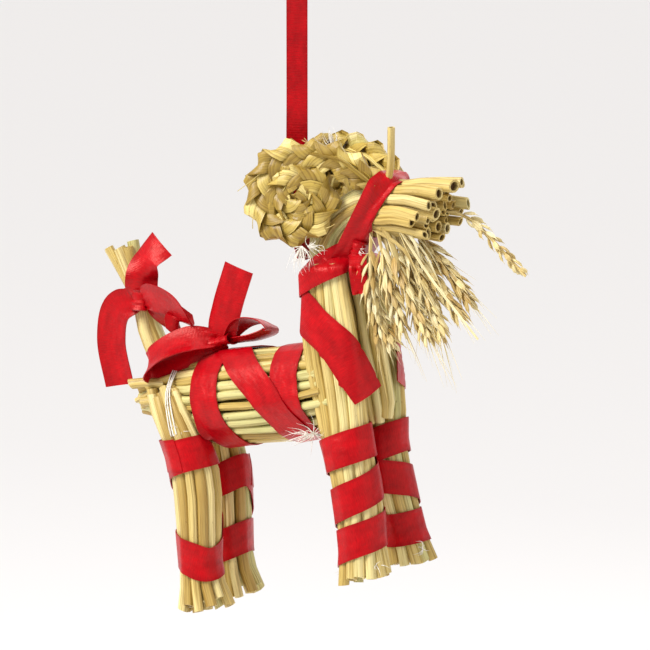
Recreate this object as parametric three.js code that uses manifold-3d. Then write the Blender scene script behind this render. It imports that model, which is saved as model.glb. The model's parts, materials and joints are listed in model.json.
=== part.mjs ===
// A straw goat ornament: bundles of straw tied into legs, trunk, neck and head, two plaited straw horns,
// and satin ribbon wound round them, hanging from a loop of narrower ribbon.
//
// Units are millimetres. +X is the way the goat faces, +Y is its left side and +Z is up. The origin is the
// top of the hanging loop. The goat itself is set out level, with its forefeet at height 0 and their middle
// at X 0, and then hangs nose up by HANG_PITCH.
import * as THREE from "three";
import { mergeVertices } from "three/addons/utils/BufferGeometryUtils.js";
import Module from "manifold-3d";

const wasm = await Module();
wasm.setup();

// ---------------------------------------------------------------- driving dimensions
const STALK = 3.7; // diameter of one straw
const GROOVE = 0.1; // depth of the groove between straws, as a share of the bundle's half width
const CLEAR = 0.35; // gap kept between two pieces

const LEG = 7.3; // half width of a tied leg
const FOOT = 7.9; // half width of a foot, where the straw splays
const STANCE = 12; // a foot's middle from the goat's middle plane
const HIP = 10; // a leg's top from the goat's middle plane
const LEG_TOP = 38; // height at which a leg meets the body

const TRUNK = 14.1; // half width of the trunk
const TRUNK_MIDDLE = 54.4; // height of the trunk's middle line
const TRUNK_FRONT = -8.7; // where the trunk meets the forelegs' straw
const RUMP_END = -71; // tips of the trunk's straw behind the rump
const REAR_LEG = -51.5; // the rear legs' top along the trunk

const NECK_SIDE = 10.2; // middle of the straw that runs up either side of the neck
const NECK_TOP = 89; // height of the neck's top, under its ribbon
const CHEST = 5.5; // half width of the straw that runs up the middle of the neck

const HORN_TURN = 11.3; // radius of the horn's outer turn, at the middle of its plait
const HORN_CORE = 4.8; // radius of its inner turn
const HORN_SPLAY = THREE.MathUtils.degToRad(17); // the horns stand further apart at the back
const PLAIT_THICK = 3.25; // half thickness of the plait, across the spiral's turns
const PLAIT_WIDE = 4.3; // half width of the plait
const PLAIT_STEP = 6.5; // length of plait from one crossing to the next

const RIBBON = 10; // width of the satin ribbon
const RIBBON_THICK = 0.5;
const LIFT = 0.75; // height of a ribbon's inner face over the straw
const LOOP_RIBBON = 6; // width of the ribbon that the goat hangs from
const LOOP_TOP = 183; // height of the loop's top over the forefeet, as hung
const LOOP_BACK = -31.1; // where the loop hangs, behind the forefeet, as hung

const HANG_PITCH = THREE.MathUtils.degToRad(14);

// ---------------------------------------------------------------- finishes
const finish = (color, roughness) => new THREE.MeshStandardMaterial({ color, roughness, metalness: 0 });
const STRAW = finish(0xd9c67c, 0.55);
const PLAIT = finish(0xd2b45c, 0.5);
const SATIN = finish(0xb8101c, 0.35);
const COTTON = finish(0xf1ede2, 0.9);

// ---------------------------------------------------------------- small helpers
const v = (x, y, z) => new THREE.Vector3(x, y, z);
const lerp = THREE.MathUtils.lerp;
const rad = THREE.MathUtils.degToRad;
// An even scatter from 0 to 1 that is the same every time.
const scatter = (i, k = 0) => {
  const s = Math.sin(i * 12.9898 + k * 78.233) * 43758.5453;
  return s - Math.floor(s);
};

// Turns every face outwards, from the sign of the volume.
function outward(geometry) {
  const p = geometry.attributes.position;
  const index = geometry.index.array;
  const [a, b, c] = [v(), v(), v()];
  let volume = 0;
  for (let i = 0; i < index.length; i += 3) {
    a.fromBufferAttribute(p, index[i]);
    b.fromBufferAttribute(p, index[i + 1]);
    c.fromBufferAttribute(p, index[i + 2]);
    volume += a.dot(b.cross(c));
  }
  if (volume < 0) for (let i = 0; i < index.length; i += 3) {
    [index[i], index[i + 1]] = [index[i + 1], index[i]];
  }
  return geometry;
}

// A closed skin over rings of points, with a cap at each end, or joined end to end when looped.
function loft(rings, looped = false) {
  const n = rings[0].length;
  const points = rings.flat();
  const positions = points.flatMap((p) => [p.x, p.y, p.z]);
  const index = [];
  const spans = looped ? rings.length : rings.length - 1;
  for (let i = 0; i < spans; i++) {
    for (let j = 0; j < n; j++) {
      const a = i * n + j;
      const b = i * n + ((j + 1) % n);
      const up = ((i + 1) % rings.length) * n;
      const c = up + j;
      const d = up + ((j + 1) % n);
      const short = points[a].distanceTo(points[d]) < points[b].distanceTo(points[c]);
      index.push(...(short ? [a, b, d, a, d, c] : [a, b, c, b, d, c]));
    }
  }
  if (!looped) for (const i of [0, rings.length - 1]) {
    const middle = rings[i].reduce((sum, p) => sum.add(p), v(0, 0, 0)).divideScalar(n);
    const hub = positions.length / 3;
    positions.push(middle.x, middle.y, middle.z);
    for (let j = 0; j < n; j++) {
      const a = i * n + j;
      const b = i * n + ((j + 1) % n);
      index.push(...(i === 0 ? [hub, b, a] : [hub, a, b]));
    }
  }
  const geometry = new THREE.BufferGeometry();
  geometry.setAttribute("position", new THREE.Float32BufferAttribute(positions, 3));
  geometry.setIndex(index);
  return outward(geometry);
}

function toSolid(geometry) {
  const bare = geometry.clone();
  for (const name of Object.keys(bare.attributes)) if (name !== "position") bare.deleteAttribute(name);
  const merged = mergeVertices(bare, 1e-4);
  return new wasm.Manifold(new wasm.Mesh({
    numProp: 3,
    vertProperties: merged.attributes.position.array,
    triVerts: new Uint32Array(merged.index.array),
  }));
}

function toGeometry(solid) {
  const { vertProperties, triVerts } = solid.getMesh();
  const geometry = new THREE.BufferGeometry();
  geometry.setAttribute("position", new THREE.BufferAttribute(new Float32Array(vertProperties), 3));
  geometry.setIndex(new THREE.BufferAttribute(new Uint32Array(triVerts), 1));
  return geometry;
}

// One body from several that touch.
const join = (...geometries) => toGeometry(geometries.map(toSolid).reduce((all, one) => all.add(one)));

// The largest body left when some others are cut away.
function cut(geometry, ...tools) {
  const left = tools.map(toSolid).reduce((body, tool) => body.subtract(tool), toSolid(geometry));
  return toGeometry(left.decompose().reduce((a, b) => (a.volume() > b.volume() ? a : b)));
}

// ---------------------------------------------------------------- straw
// Rings across a path. A station is [x, y, z, deep, wide]: its middle, and the half size of the section in
// the goat's middle plane and across it. Each station's ring has its points at the given angles and shares.
function ringsAlong(stations, outline) {
  const middles = stations.map(([x, y, z]) => v(x, y, z));
  return stations.map(([, , , deep, wide], i) => {
    const ahead = middles[Math.min(i + 1, middles.length - 1)];
    const behind = middles[Math.max(i - 1, 0)];
    const along = ahead.clone().sub(behind).normalize();
    const side = v(0, 1, 0).addScaledVector(along, -along.y).normalize();
    const up = along.clone().cross(side);
    return outline(i).map(([angle, share, slip = 0]) => middles[i].clone()
      .addScaledVector(side, wide * share * Math.cos(angle))
      .addScaledVector(up, deep * share * Math.sin(angle))
      .addScaledVector(along, slip));
  });
}

// A tied bundle: its outline is scalloped, one lobe for each straw, and its cut ends are uneven.
function bundle(stations, { stalks, grow = 0, rag = [0, 0], seed = 1 }) {
  const grown = stations.map(([x, y, z, deep, wide]) => [x, y, z, deep + grow, wide + grow]);
  const lobes = [[0, 1 - GROOVE], [0.5, 1]];
  const outline = (i) => Array.from({ length: stalks }, (_, j) => {
    const end = i === 0 ? -rag[0] : i === stations.length - 1 ? rag[1] : 0;
    const slip = end * (scatter(j, seed) - 0.5);
    return lobes.map(([at, share]) => [((j + at) * 2 * Math.PI) / stalks, share, slip]);
  }).flat();
  return loft(ringsAlong(grown, outline));
}

// A plain round stem or straw along some points, each [x, y, z, radius].
function stem(points, sides = 6) {
  const outline = () => Array.from({ length: sides }, (_, j) => [(j * 2 * Math.PI) / sides, 1]);
  return loft(ringsAlong(points.map(([x, y, z, r]) => [x, y, z, r, r]), outline));
}

// ---------------------------------------------------------------- ribbon laid on straw
// The tight outline round some solids, cut across an axis: what a ribbon wound round them follows. Angles run
// from `zero` towards along × zero, and heights along the axis.
function skin(geometries, along, zero) {
  const side = along.clone().cross(zero);
  const triangles = [];
  for (const g of geometries) {
    const p = g.attributes.position;
    const at = (k) => {
      const q = v().fromBufferAttribute(p, g.index.array[k]);
      return [q.dot(zero), q.dot(side), q.dot(along)];
    };
    for (let k = 0; k < g.index.count; k += 3) triangles.push([at(k), at(k + 1), at(k + 2)]);
  }
  const slices = new Map();
  const DIRECTIONS = 90;
  const slice = (height) => {
    const key = Math.round(height * 5);
    if (slices.has(key)) return slices.get(key);
    const level = key / 5 + 0.01;
    const points = [];
    for (const t of triangles) for (let k = 0; k < 3; k++) {
      const [a, b] = [t[k], t[(k + 1) % 3]];
      if (a[2] < level === b[2] < level) continue;
      const s = (level - a[2]) / (b[2] - a[2]);
      points.push([lerp(a[0], b[0], s), lerp(a[1], b[1], s)]);
    }
    const middle = [0, 1].map((c) => {
      const all = points.map((q) => q[c]);
      return (Math.min(...all) + Math.max(...all)) / 2;
    });
    const reach = Array.from({ length: DIRECTIONS }, (_, k) => {
      const [c, s] = [Math.cos((k * 2 * Math.PI) / DIRECTIONS), Math.sin((k * 2 * Math.PI) / DIRECTIONS)];
      return Math.max(...points.map(([x, y]) => (x - middle[0]) * c + (y - middle[1]) * s));
    });
    slices.set(key, { middle, reach });
    return slices.get(key);
  };
  const radius = (angle, height) => Math.min(...slice(height).reach.map((h, k) => {
    const c = Math.cos((k * 2 * Math.PI) / DIRECTIONS - angle);
    return c > 0.15 ? h / c : Infinity;
  }));
  const point = (angle, height, lift) => {
    const { middle } = slice(height);
    const r = radius(angle, height) + lift;
    return v(0, 0, 0)
      .addScaledVector(zero, middle[0] + r * Math.cos(angle))
      .addScaledVector(side, middle[1] + r * Math.sin(angle))
      .addScaledVector(along, height);
  };
  return { radius, point };
}

// A ribbon laid on a skin along a route of [angle in degrees, height], every `step` degrees or so.
// Its lift may change along the route, so that one turn passes over another.
function wrapped(surface, route, options = {}) {
  const { width = RIBBON, lift = () => LIFT, step = 24, closed = false, rows = [-1, 0, 1] } = options;
  const places = [];
  for (let i = 0; i + 1 < route.length; i++) {
    const [[a0, h0], [a1, h1]] = [route[i], route[i + 1]];
    const parts = Math.max(1, Math.round(Math.max(Math.abs(a1 - a0) / step, Math.abs(h1 - h0) / RIBBON)));
    for (let k = 0; k < parts; k++) places.push([rad(lerp(a0, a1, k / parts)), lerp(h0, h1, k / parts)]);
  }
  const [aEnd, hEnd] = route[route.length - 1];
  if (!closed) places.push([rad(aEnd), hEnd]);
  const count = places.length;
  const turn = rad(aEnd - route[0][0]);
  const near = (i) => {
    if (!closed) return places[Math.min(Math.max(i, 0), count - 1)];
    const lap = Math.floor(i / count);
    const [a, h] = places[i - lap * count];
    return [a + lap * turn, h];
  };
  const rings = places.map(([angle, height], i) => {
    const [[a0, h0], [a1, h1]] = [near(i - 1), near(i + 1)];
    const r = surface.radius(angle, height);
    const slope = Math.atan2(h1 - h0, r * (a1 - a0));
    const da = (-Math.sin(slope) * width) / 2 / r;
    const dh = (Math.cos(slope) * width) / 2;
    const up = lift(i / (count - 1));
    const row = (k, rise) => surface.point(angle + k * da, height + k * dh, up + rise);
    return [...rows.map((k) => row(k, 0)), ...rows.map((k) => row(k, RIBBON_THICK)).reverse()];
  });
  return loft(rings, closed);
}

// A free length of ribbon: points down its middle, and the direction across it at each. Where an end goes
// into a knot it is gathered to a share of its width.
function freeRibbon(middles, acrosses, options = {}) {
  const { width = RIBBON, thick = RIBBON_THICK, steps = 12, pinch = [1, 1] } = options;
  const path = new THREE.CatmullRomCurve3(middles.map((p) => v(...p)), false, "centripetal");
  const turns = new THREE.CatmullRomCurve3(acrosses.map((p) => v(...p).normalize()), false, "centripetal");
  return loft(Array.from({ length: steps + 1 }, (_, i) => {
    const t = i / steps;
    const middle = path.getPoint(t);
    const along = path.getTangent(t);
    const across = turns.getPoint(t);
    across.addScaledVector(along, -across.dot(along)).normalize();
    const face = along.clone().cross(across);
    const gathered = Math.min(lerp(pinch[0], 1, Math.min(1, 5 * t)), lerp(pinch[1], 1, Math.min(1, 5 * (1 - t))));
    const corners = [[-gathered, -1], [gathered, -1], [gathered, 1], [-gathered, 1]];
    return corners.map(([a, f]) => middle.clone()
      .addScaledVector(across, (a * width) / 2)
      .addScaledVector(face, (f * thick) / 2));
  }));
}

// A knot: a small faceted ball, stretched to the given half sizes.
function knot(x, y, z, rx, ry, rz) {
  const g = new THREE.SphereGeometry(1, 8, 6);
  g.scale(rx, ry, rz);
  g.translate(x, y, z);
  return g;
}

// ---------------------------------------------------------------- the straw bundles
const SIDES = { right: -1, left: 1 };

const trunkStations = [
  [RUMP_END, 0, 60, 5.2, 5.6],
  [-64, 0, 60.2, 7.6, 8.4],
  [-56, 0, 58.4, 11, 11.4],
  [-46, 0, 56, TRUNK, TRUNK],
  [-22, 0, TRUNK_MIDDLE, TRUNK, TRUNK],
  [TRUNK_FRONT, 0, TRUNK_MIDDLE, TRUNK - 0.4, TRUNK - 0.2],
];
const chestStations = [
  [3.7, 0, 42, 8.4, 3.4],
  [3.4, 0, 47, 10.6, CHEST - 0.3],
  [3.2, 0, 62, 11.3, CHEST],
  [4, 0, 76, 11.1, CHEST - 0.3],
  [4.8, 0, 85, 9.4, CHEST - 0.8],
  [4.8, 0, NECK_TOP, 8.6, CHEST - 1.1],
];
const chest = bundle(chestStations, { stalks: 12 });
const trunkOf = (grow) => bundle(trunkStations, { stalks: 20, grow, rag: [5, 0] });
const tongue = stem([[-12, 0, 54, 4.6], [0, 0, 54, 4.6]], 10);
const rumpStraws = [0, 1, 2, 3, 4].map((i) => {
  const y = lerp(-4.5, 4.5, i / 4);
  const z = 60 + 3 * Math.sin(i * 2.4);
  return stem([[-66, y, z, STALK / 2.2], [RUMP_END - 2 - 2 * scatter(i, 3), y * 1.25, z - 0.6, STALK / 2.2]]);
});
const trunk = join(trunkOf(0), tongue, chest, ...rumpStraws);

// A foreleg runs from its splayed foot up the side of the neck, growing deeper and thinner as it goes.
const FORE = { right: { footX: -0.2, kneeX: 1.9, topX: 1.9 }, left: { footX: -0.2, kneeX: -0.7, topX: 0 } };
const foreleg = (name) => {
  const s = SIDES[name];
  const { footX, kneeX, topX } = FORE[name];
  return bundle([
    [footX, s * STANCE, 0, FOOT, FOOT],
    [lerp(footX, kneeX, 0.5), s * 11.6, 8, LEG - 0.4, LEG - 0.5],
    [kneeX, s * 10.8, 20, LEG, LEG],
    [topX, s * HIP, LEG_TOP - 3, LEG, LEG - 0.4],
    [1.8, s * NECK_SIDE, 44.5, 8.4, 4.6],
    [2.6, s * NECK_SIDE, 55, 9.2, 4.3],
    [3.2, s * (NECK_SIDE - 0.3), 70, 9.4, 4.1],
    [4.8, s * (NECK_SIDE - 2), 86, 7.2, 3.3],
    [4.8, s * (NECK_SIDE - 2), NECK_TOP, 6.9, 3.2],
  ], { stalks: 11, rag: [1.8, 0], seed: 2 + s });
};

// A rear leg runs up against the trunk's flank, which shapes its top.
const REAR = { right: { footX: -58, topX: REAR_LEG }, left: { footX: -62, topX: REAR_LEG - 5 } };
const rearleg = (name) => {
  const s = SIDES[name];
  const { footX, topX } = REAR[name];
  return cut(bundle([
    [footX, s * (STANCE - 1), -1.7, FOOT + 0.2, FOOT],
    [footX + 0.3, s * 10.8, 7, LEG - 0.9, LEG - 0.7],
    [topX, s * 11, LEG_TOP, LEG + 0.3, LEG],
    [topX - 1.4, s * 12.4, 47, LEG - 0.9, 5.6],
    [topX - 3, s * 12.4, 55, 6.6, 4.6],
    [topX - 6, s * 11.2, 62, 5, 3.4],
  ], { stalks: 11, rag: [1.8, 2.5], seed: 5 + s }), trunkOf(CLEAR));
};

// The tail is a thinner bundle that starts on the rump's top and flares above its tie.
const tail = cut(bundle([
  [-61, 0, 62, 4.2, 4.2],
  [-63.5, 0, 70, 4.2, 4.2],
  [-66, 0, 79, 4.2, 4.2],
  [-66.6, 0, 89, 3.7, 3.7],
  [-68, 0, 97, 4.4, 4.4],
  [-69.6, 0, 105, 5.2, 5.2],
], { stalks: 8, rag: [0, 2.2], seed: 7 }), trunkOf(CLEAR));

// ---------------------------------------------------------------- horns
// A horn's middle line: up and back from the head's tie, once round its outer turn, and in to its core.
function hornLine(s) {
  const centre = v(2.9, s * 11, 109.7);
  const forward = v(Math.cos(HORN_SPLAY), -s * Math.sin(HORN_SPLAY), 0);
  const points = [v(29.8, s * 4.6, 103.9), v(20.6, s * 7, 113.8), v(13.4, s * 8.4, 118.6)];
  const START = 70;
  const FALL = [200, 440];
  const END = 620;
  for (let a = START; a <= END; a += 25) {
    const share = THREE.MathUtils.clamp((a - FALL[0]) / (FALL[1] - FALL[0]), 0, 1);
    const late = Math.max(0, a - FALL[1]) / (END - FALL[1]);
    const r = lerp(HORN_TURN, HORN_CORE, share) - 1.6 * late;
    points.push(centre.clone()
      .addScaledVector(forward, r * Math.cos(rad(a)))
      .add(v(0, s * 1.2 * late, r * Math.sin(rad(a)))));
  }
  return new THREE.CatmullRomCurve3(points, false, "centripetal");
}

// The plait's surface is a row of chevrons, where one flat straw after another crosses over.
function plait(s, grow = 0) {
  const line = hornLine(s);
  const length = line.getLength();
  const steps = Math.round(length / (PLAIT_STEP / 2));
  const sides = 8;
  const rings = Array.from({ length: steps + 1 }, (_, i) => {
    const t = i / steps;
    const middle = line.getPointAt(t);
    const along = line.getTangentAt(t);
    const side = v(0, 1, 0).addScaledVector(along, -along.y).normalize();
    const up = along.clone().cross(side);
    const taper = Math.min(1, 0.7 + 6 * t, 0.62 + 3.8 * (1 - t));
    return Array.from({ length: sides }, (_, j) => {
      const angle = (j * 2 * Math.PI) / sides;
      const fold = Math.abs(Math.sin(angle));
      const wave = Math.abs(Math.sin(Math.PI * ((t * length) / PLAIT_STEP + 0.5 * fold)));
      const share = (grow ? 1 : 0.86 + 0.14 * wave) * taper;
      return middle.clone()
        .addScaledVector(side, (PLAIT_WIDE * share + grow) * Math.cos(angle))
        .addScaledVector(up, (PLAIT_THICK * share + grow) * Math.sin(angle));
    });
  });
  return loft(rings);
}
const horns = { right: plait(SIDES.right), left: plait(SIDES.left) };

// ---------------------------------------------------------------- head, muzzle and beard
// The neck's straw bends forward through the head's tie and fans out as the muzzle's cut straws.
const headStations = [
  [4.8, 0, NECK_TOP + 0.5, 8, 9],
  [5.6, 0, NECK_TOP + 5.4, 8, 8.6],
  [9.2, 0, 98.6, 7, 6.8],
  [14.4, 0, 100.8, 6.8, 7.4],
  [21.2, 0, 101, 6.3, 7.2],
  [26.6, 0, 98.8, 7, 6.4],
  [31.4, 0, 95.6, 7.4, 5.8],
];
const headCore = bundle(headStations, { stalks: 8 });

// Rows of muzzle straws, top row first: [start x, start z, rise in degrees, length].
const MUZZLE_ROWS = [[28.4, 102.8, 3, 20], [27.4, 101, -13, 16], [26, 98.4, -32, 15.5], [24.5, 96, -50, 15.5]];
const MUZZLE_ACROSS = 3;
const muzzleStraws = MUZZLE_ROWS.flatMap(([x, z, rise, length], row) =>
  Array.from({ length: MUZZLE_ACROSS }, (_, i) => {
    const across = (i - (MUZZLE_ACROSS - 1) / 2) / MUZZLE_ACROSS;
    const yaw = rad(40 * across);
    const pitch = rad(rise + 5 * (scatter(i, row) - 0.5));
    const reach = length * (0.9 + 0.2 * scatter(i, row + 9));
    const y = 9 * across;
    return stem([
      [x, y, z, STALK / 2.1],
      [x + reach * Math.cos(pitch) * Math.cos(yaw), y + reach * Math.sin(yaw),
        z + reach * Math.sin(pitch) * Math.cos(yaw), STALK / 2],
    ], 5);
  }));

// A hanging ear of grain: a thin stalk, then the ear's fat middle and its tip.
function ear(root, tip, fat, sag = 2) {
  const shape = [[0, 0.9], [0.25, 0.9], [0.4, fat * 0.85], [0.62, fat], [0.82, fat * 0.7], [1, 0.4]];
  return stem(shape.map(([t, r]) => [
    lerp(root[0], tip[0], t), lerp(root[1], tip[1], t), lerp(root[2], tip[2], t) + sag * Math.sin(Math.PI * t), r,
  ]), 5);
}
const ears = [
  ear([26, -4, 95], [19.4, -6, 56], 2.5),
  ear([28, -3.5, 94], [34.4, -4.5, 58.6], 2.9),
  ear([30, -0.5, 93], [40.5, 0.5, 66.5], 3),
  ear([29, 2.5, 94], [30, 5, 62], 2.7),
  ear([31, 2.5, 95], [49.6, 3.5, 72.8], 2.2),
  ear([33, 3, 97], [62, 4.5, 75], 1.8, 5),
];
const neckRoom = new THREE.BoxGeometry(26, 34, 20).translate(2, 0, NECK_TOP + CLEAR - 10);
const hornRoom = (s) => {
  const line = hornLine(s);
  const wide = PLAIT_WIDE + CLEAR;
  const deep = PLAIT_THICK + CLEAR;
  const stations = [-0.02, 0.05, 0.1, 0.16].map((t) => {
    const p = line.getPointAt(Math.max(t, 0)).addScaledVector(line.getTangentAt(0), t < 0 ? -CLEAR : 0);
    return [p.x, p.y, p.z, deep, wide];
  });
  return loft(ringsAlong(stations, () => [0, 1, 2, 3, 4, 5, 6, 7].map((j) => [(j * Math.PI) / 4, 1])));
};
const head = cut(join(headCore, ...muzzleStraws, ...ears), neckRoom, hornRoom(-1), hornRoom(1));

// ---------------------------------------------------------------- the assembly
const legs = {
  fore: { right: foreleg("right"), left: foreleg("left") },
  rear: { right: rearleg("right"), left: rearleg("left") },
};
const X = v(1, 0, 0);
const Z = v(0, 0, 1);

// Each leg's ribbon climbs in turns that rise towards the front on the outer side. On the right leg angles
// run from +X towards +Y, and the left leg's ribbon is its mirror image.
const mirrorRoute = (route, s) => route.map(([a, h]) => [-s * a, h]);
const legRibbon = (leg, s, route, options) => wrapped(skin([leg], Z, X), mirrorRoute(route, s), options);
const FORE_ROUTE = [[-170, 8.5], [-90, 10.8], [0, 12.4], [90, 14.6], [180, 19.4], [270, 22.6], [360, 25.4],
  [450, 30], [540, 34], [630, 37.2]];
const REAR_ROUTE = [[-200, 13], [-90, 13.6], [0, 11.6], [90, 14], [180, 22], [270, 32], [330, 37.4]];

const foreRibbons = {};
const rearRibbons = {};
for (const [name, s] of Object.entries(SIDES)) {
  foreRibbons[name] = legRibbon(legs.fore[name], s, FORE_ROUTE, { lift: () => LIFT + 0.2, rows: [-1, 1] });
  rearRibbons[name] = legRibbon(legs.rear[name], s, REAR_ROUTE, { lift: () => LIFT + 0.2 });
}

// The trunk's ribbon: two upright bands and a slanting one between them, knotted on the back into a bow with
// a loop to the rear, a small loop to the front and one cut end standing up. Angles run from +Y towards +Z.
const legTops = Object.keys(SIDES).map((name) =>
  cut(legs.rear[name], new THREE.BoxGeometry(80, 60, 60).translate(-50, 0, 46.5 - 30)));
const flank = skin([trunkOf(0), ...legTops], X, v(0, 1, 0));
const BOW = v(-39.5, -1, 72.2);
const hindBand = wrapped(flank, [[90, -40.5], [180, -41.8], [235, -40], [270, -39.6], [305, -40], [360, -41.8],
  [450, -40.5]], { closed: true });
const slantBand = wrapped(flank, [[90, -37], [135, -28.5], [180, -19.5], [225, -15.5], [270, -14.6],
  [315, -15.5], [360, -19.5], [405, -28.5], [450, -37]], { closed: true, lift: () => LIFT + 0.3 });
const frontBand = wrapped(flank, [[90, -13.9], [450, -13.9]], { closed: true, rows: [-1, 1] });
const bowKnot = knot(BOW.x, BOW.y, BOW.z, 4.4, 4.6, 1.9);
const rearLoop = freeRibbon(
  [[-40, -2, 73], [-50, -8, 73.8], [-59.5, -9.6, 72], [-61.4, -7.9, 71.8], [-57, -6.2, 72.6], [-48, -3.6, 73.6],
    [-39, -0.5, 72.8]],
  [[0, -0.4, -1], [0, -0.45, -1], [0, -0.45, -1], [0, -0.45, -1], [0, -0.4, -1], [0, -0.4, -1]],
  { width: RIBBON - 0.6, pinch: [0.3, 0.3] });
const frontLoop = freeRibbon(
  [[-39, -0.5, 72.6], [-33, 1.5, 75.6], [-27.6, 3.4, 75], [-26.2, 3.8, 73.4], [-31, 2, 72.6], [-38, 0, 72.4]],
  [[0.2, -0.9, 0.6], [0.2, -1, 0.5], [0.1, -1, 0.3], [0.1, -1, 0.3], [0.2, -1, 0.3], [0.2, -1, 0.3]],
  { width: 6.5, steps: 10, pinch: [0.5, 0.5] });
const standingEnd = freeRibbon(
  [[-38.6, -1, 71.6], [-38.4, -2, 75.6], [-35.2, -1.6, 82], [-29.2, -1, 92.4]],
  [[1, 0.1, -0.1], [1, 0.1, -0.15], [1, 0.1, -0.2], [1, 0.1, -0.1]], { width: RIBBON - 0.6, steps: 6, pinch: [0.6, 1] });
const bodyRibbon = join(hindBand, slantBand, frontBand, bowKnot, rearLoop, frontLoop, standingEnd);

// The neck's ribbon: a band down each foreleg's straw from the nape, a band round the throat and a narrower
// tie round the head, where the horns and the muzzle are held together.
const napeForm = bundle([[4.8, 0, NECK_TOP - 1, 8.8, 11.5], [5.4, 0, NECK_TOP + 5.4, 8.4, 10.7],
  ...headStations.slice(2, 5)], { stalks: 10 });
const neckSkin = skin([chest, legs.fore.right, legs.fore.left, napeForm], Z, X);
const throatBand = wrapped(neckSkin, [[0, 89.4], [90, 87], [180, 84.6], [270, 87], [360, 89.4]],
  { closed: true, width: 8.6, lift: () => LIFT + 0.6, step: 15 });
const SLANT_ROUTE = [[-178, 83], [-133, 80], [-105, 73.5], [-77, 66.4], [-60, 58], [-46, 50.5]];
const slants = Object.values(SIDES).map((s) => wrapped(neckSkin, mirrorRoute(SLANT_ROUTE, s),
  { step: 9, lift: () => LIFT + 0.4 }));
const TIE_AXIS = v(0.72, 0, -0.69).normalize();
const headFront = bundle(headStations.slice(2), { stalks: 8 });
const tieSkin = skin([headFront, horns.right, horns.left], TIE_AXIS, v(0, 1, 0));
const TIE_AT = v(24, 0, 102.4).dot(TIE_AXIS);
const headTie = cut(wrapped(tieSkin, [[0, TIE_AT], [360, TIE_AT]], { closed: true, width: 5.5,
  lift: () => LIFT + 0.4, rows: [-1, 1], step: 18 }), bundle(headStations, { stalks: 8, grow: CLEAR }));
const throatKnot = knot(16.6, -1.5, 90.2, 2.2, 3, 2.3);
const throatEnd = freeRibbon([[17.2, -3, 90.6], [18, -5.2, 87.6], [17.6, -6.2, 84], [17.2, -6.6, 80]],
  [[0.6, 0.4, 0], [0.6, 0.4, 0], [0.6, 0.4, 0], [0.6, 0.4, 0]], { width: 3.6, thick: 1.4, steps: 4 });
const neckRibbon = join(throatBand, ...slants, headTie, throatKnot, throatEnd);

// The tail's ribbon: a tie with one end hanging behind, one twisted upwards and a loop to the front.
const tailSkin = skin([tail], Z, X);
const tailTie = wrapped(tailSkin, [[0, 89], [360, 89]], { closed: true, width: 6.5, step: 36 });
const tailKnot = knot(-63.2, -5.6, 88.4, 2.4, 1.9, 2.8);
const hangingEnd = freeRibbon([[-64, -4.6, 88.6], [-71.5, -5.6, 87.6], [-77, -5.4, 78], [-77.1, -5, 65.2]],
  [[0.3, 0, -1], [0.7, 0.1, -0.6], [1, 0.1, -0.1], [1, 0.1, -0.1]], { width: RIBBON - 0.6, steps: 9 });
const risingEnd = freeRibbon([[-63, -5, 89], [-60.4, -5.6, 96], [-57.8, -5, 100.4], [-53, -3, 103.6]],
  [[1, 0.2, 0.2], [0.8, 0.5, 0.1], [0.9, -0.2, -0.3], [0.72, 0, -0.69]], { width: RIBBON - 1, steps: 8 });
const tailLoop = freeRibbon(
  [[-63, -4.6, 88], [-56.4, -5, 87.4], [-51, -4.6, 84.4], [-50.8, -4.2, 81.4], [-55, -4, 81.4], [-62, -4.6, 87]],
  [[0.3, -0.9, 0.3], [0.3, -0.9, 0.4], [0.3, -0.9, 0.3], [0.2, -1, 0], [0.2, -1, 0.2], [0.3, -0.9, 0.3]],
  { width: 6, steps: 10 });
const tailRibbon = join(tailTie, tailKnot, hangingEnd, risingEnd, tailLoop);

// A cotton thread that binds the rear legs' tops over the rump.
const rumpThread = wrapped(flank, [[-30, -51.6], [0, -53], [90, -54.6], [180, -53], [210, -51.6]],
  { width: 0.9, lift: () => CLEAR + 0.2, step: 18 });

// The hanging ribbon lies flat against the nape, turns as it rises, and opens into a round loop at the top.
// Both strands follow one line: out of the nape, up, round the loop and back down.
const STRANDS = 1.25; // half the distance between the two strands
const LOOP_RADIUS = 5.5;
const NAPE = { x: 3.4, z: 87.4 - LOOP_TOP };
function hangingLine(side) {
  const facing = rad(33); // direction of the ribbon's width, above its twist
  const apart = (spread, twist) => {
    const a = facing + twist * (Math.PI / 2 - facing);
    return v(-Math.sin(a) * spread * side, Math.cos(a) * spread * side, 0);
  };
  const rows = [[NAPE.x, NAPE.z, STRANDS, 1], [1.6, NAPE.z + 6, STRANDS, 0.8], [0.4, NAPE.z + 14, STRANDS, 0.3],
    [0, NAPE.z + 24, STRANDS, 0], [0, -48, STRANDS, 0], [0, -24, STRANDS + 0.1, 0], [0, -15, 3, 0]];
  return rows.map(([x, z, spread, twist]) => ({
    at: v(x, 0, z).add(apart(spread, twist)),
    across: v(Math.cos(facing + twist * (Math.PI / 2 - facing)), Math.sin(facing + twist * (Math.PI / 2 - facing)), 0),
  }));
}
const loopTop = [30, 60, 90, 120, 150].map((a) => ({
  at: v(-Math.sin(rad(33)), Math.cos(rad(33)), 0).multiplyScalar(LOOP_RADIUS * Math.cos(rad(a)))
    .add(v(0, 0, LOOP_RADIUS * (Math.sin(rad(a)) - 1))),
  across: v(Math.cos(rad(33)), Math.sin(rad(33)), 0),
}));
const hangingRoute = [...hangingLine(1), ...loopTop, ...hangingLine(-1).reverse()];
const hangingRibbon = freeRibbon(hangingRoute.map((p) => p.at.toArray()),
  hangingRoute.map((p) => p.across.toArray()), { width: LOOP_RIBBON, thick: 0.4, steps: 44 });

const goat = new THREE.Group();
goat.rotation.y = -HANG_PITCH;
goat.position.set(-LOOP_BACK, 0, -LOOP_TOP);
const ornament = new THREE.Group();
ornament.add(goat);

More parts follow.
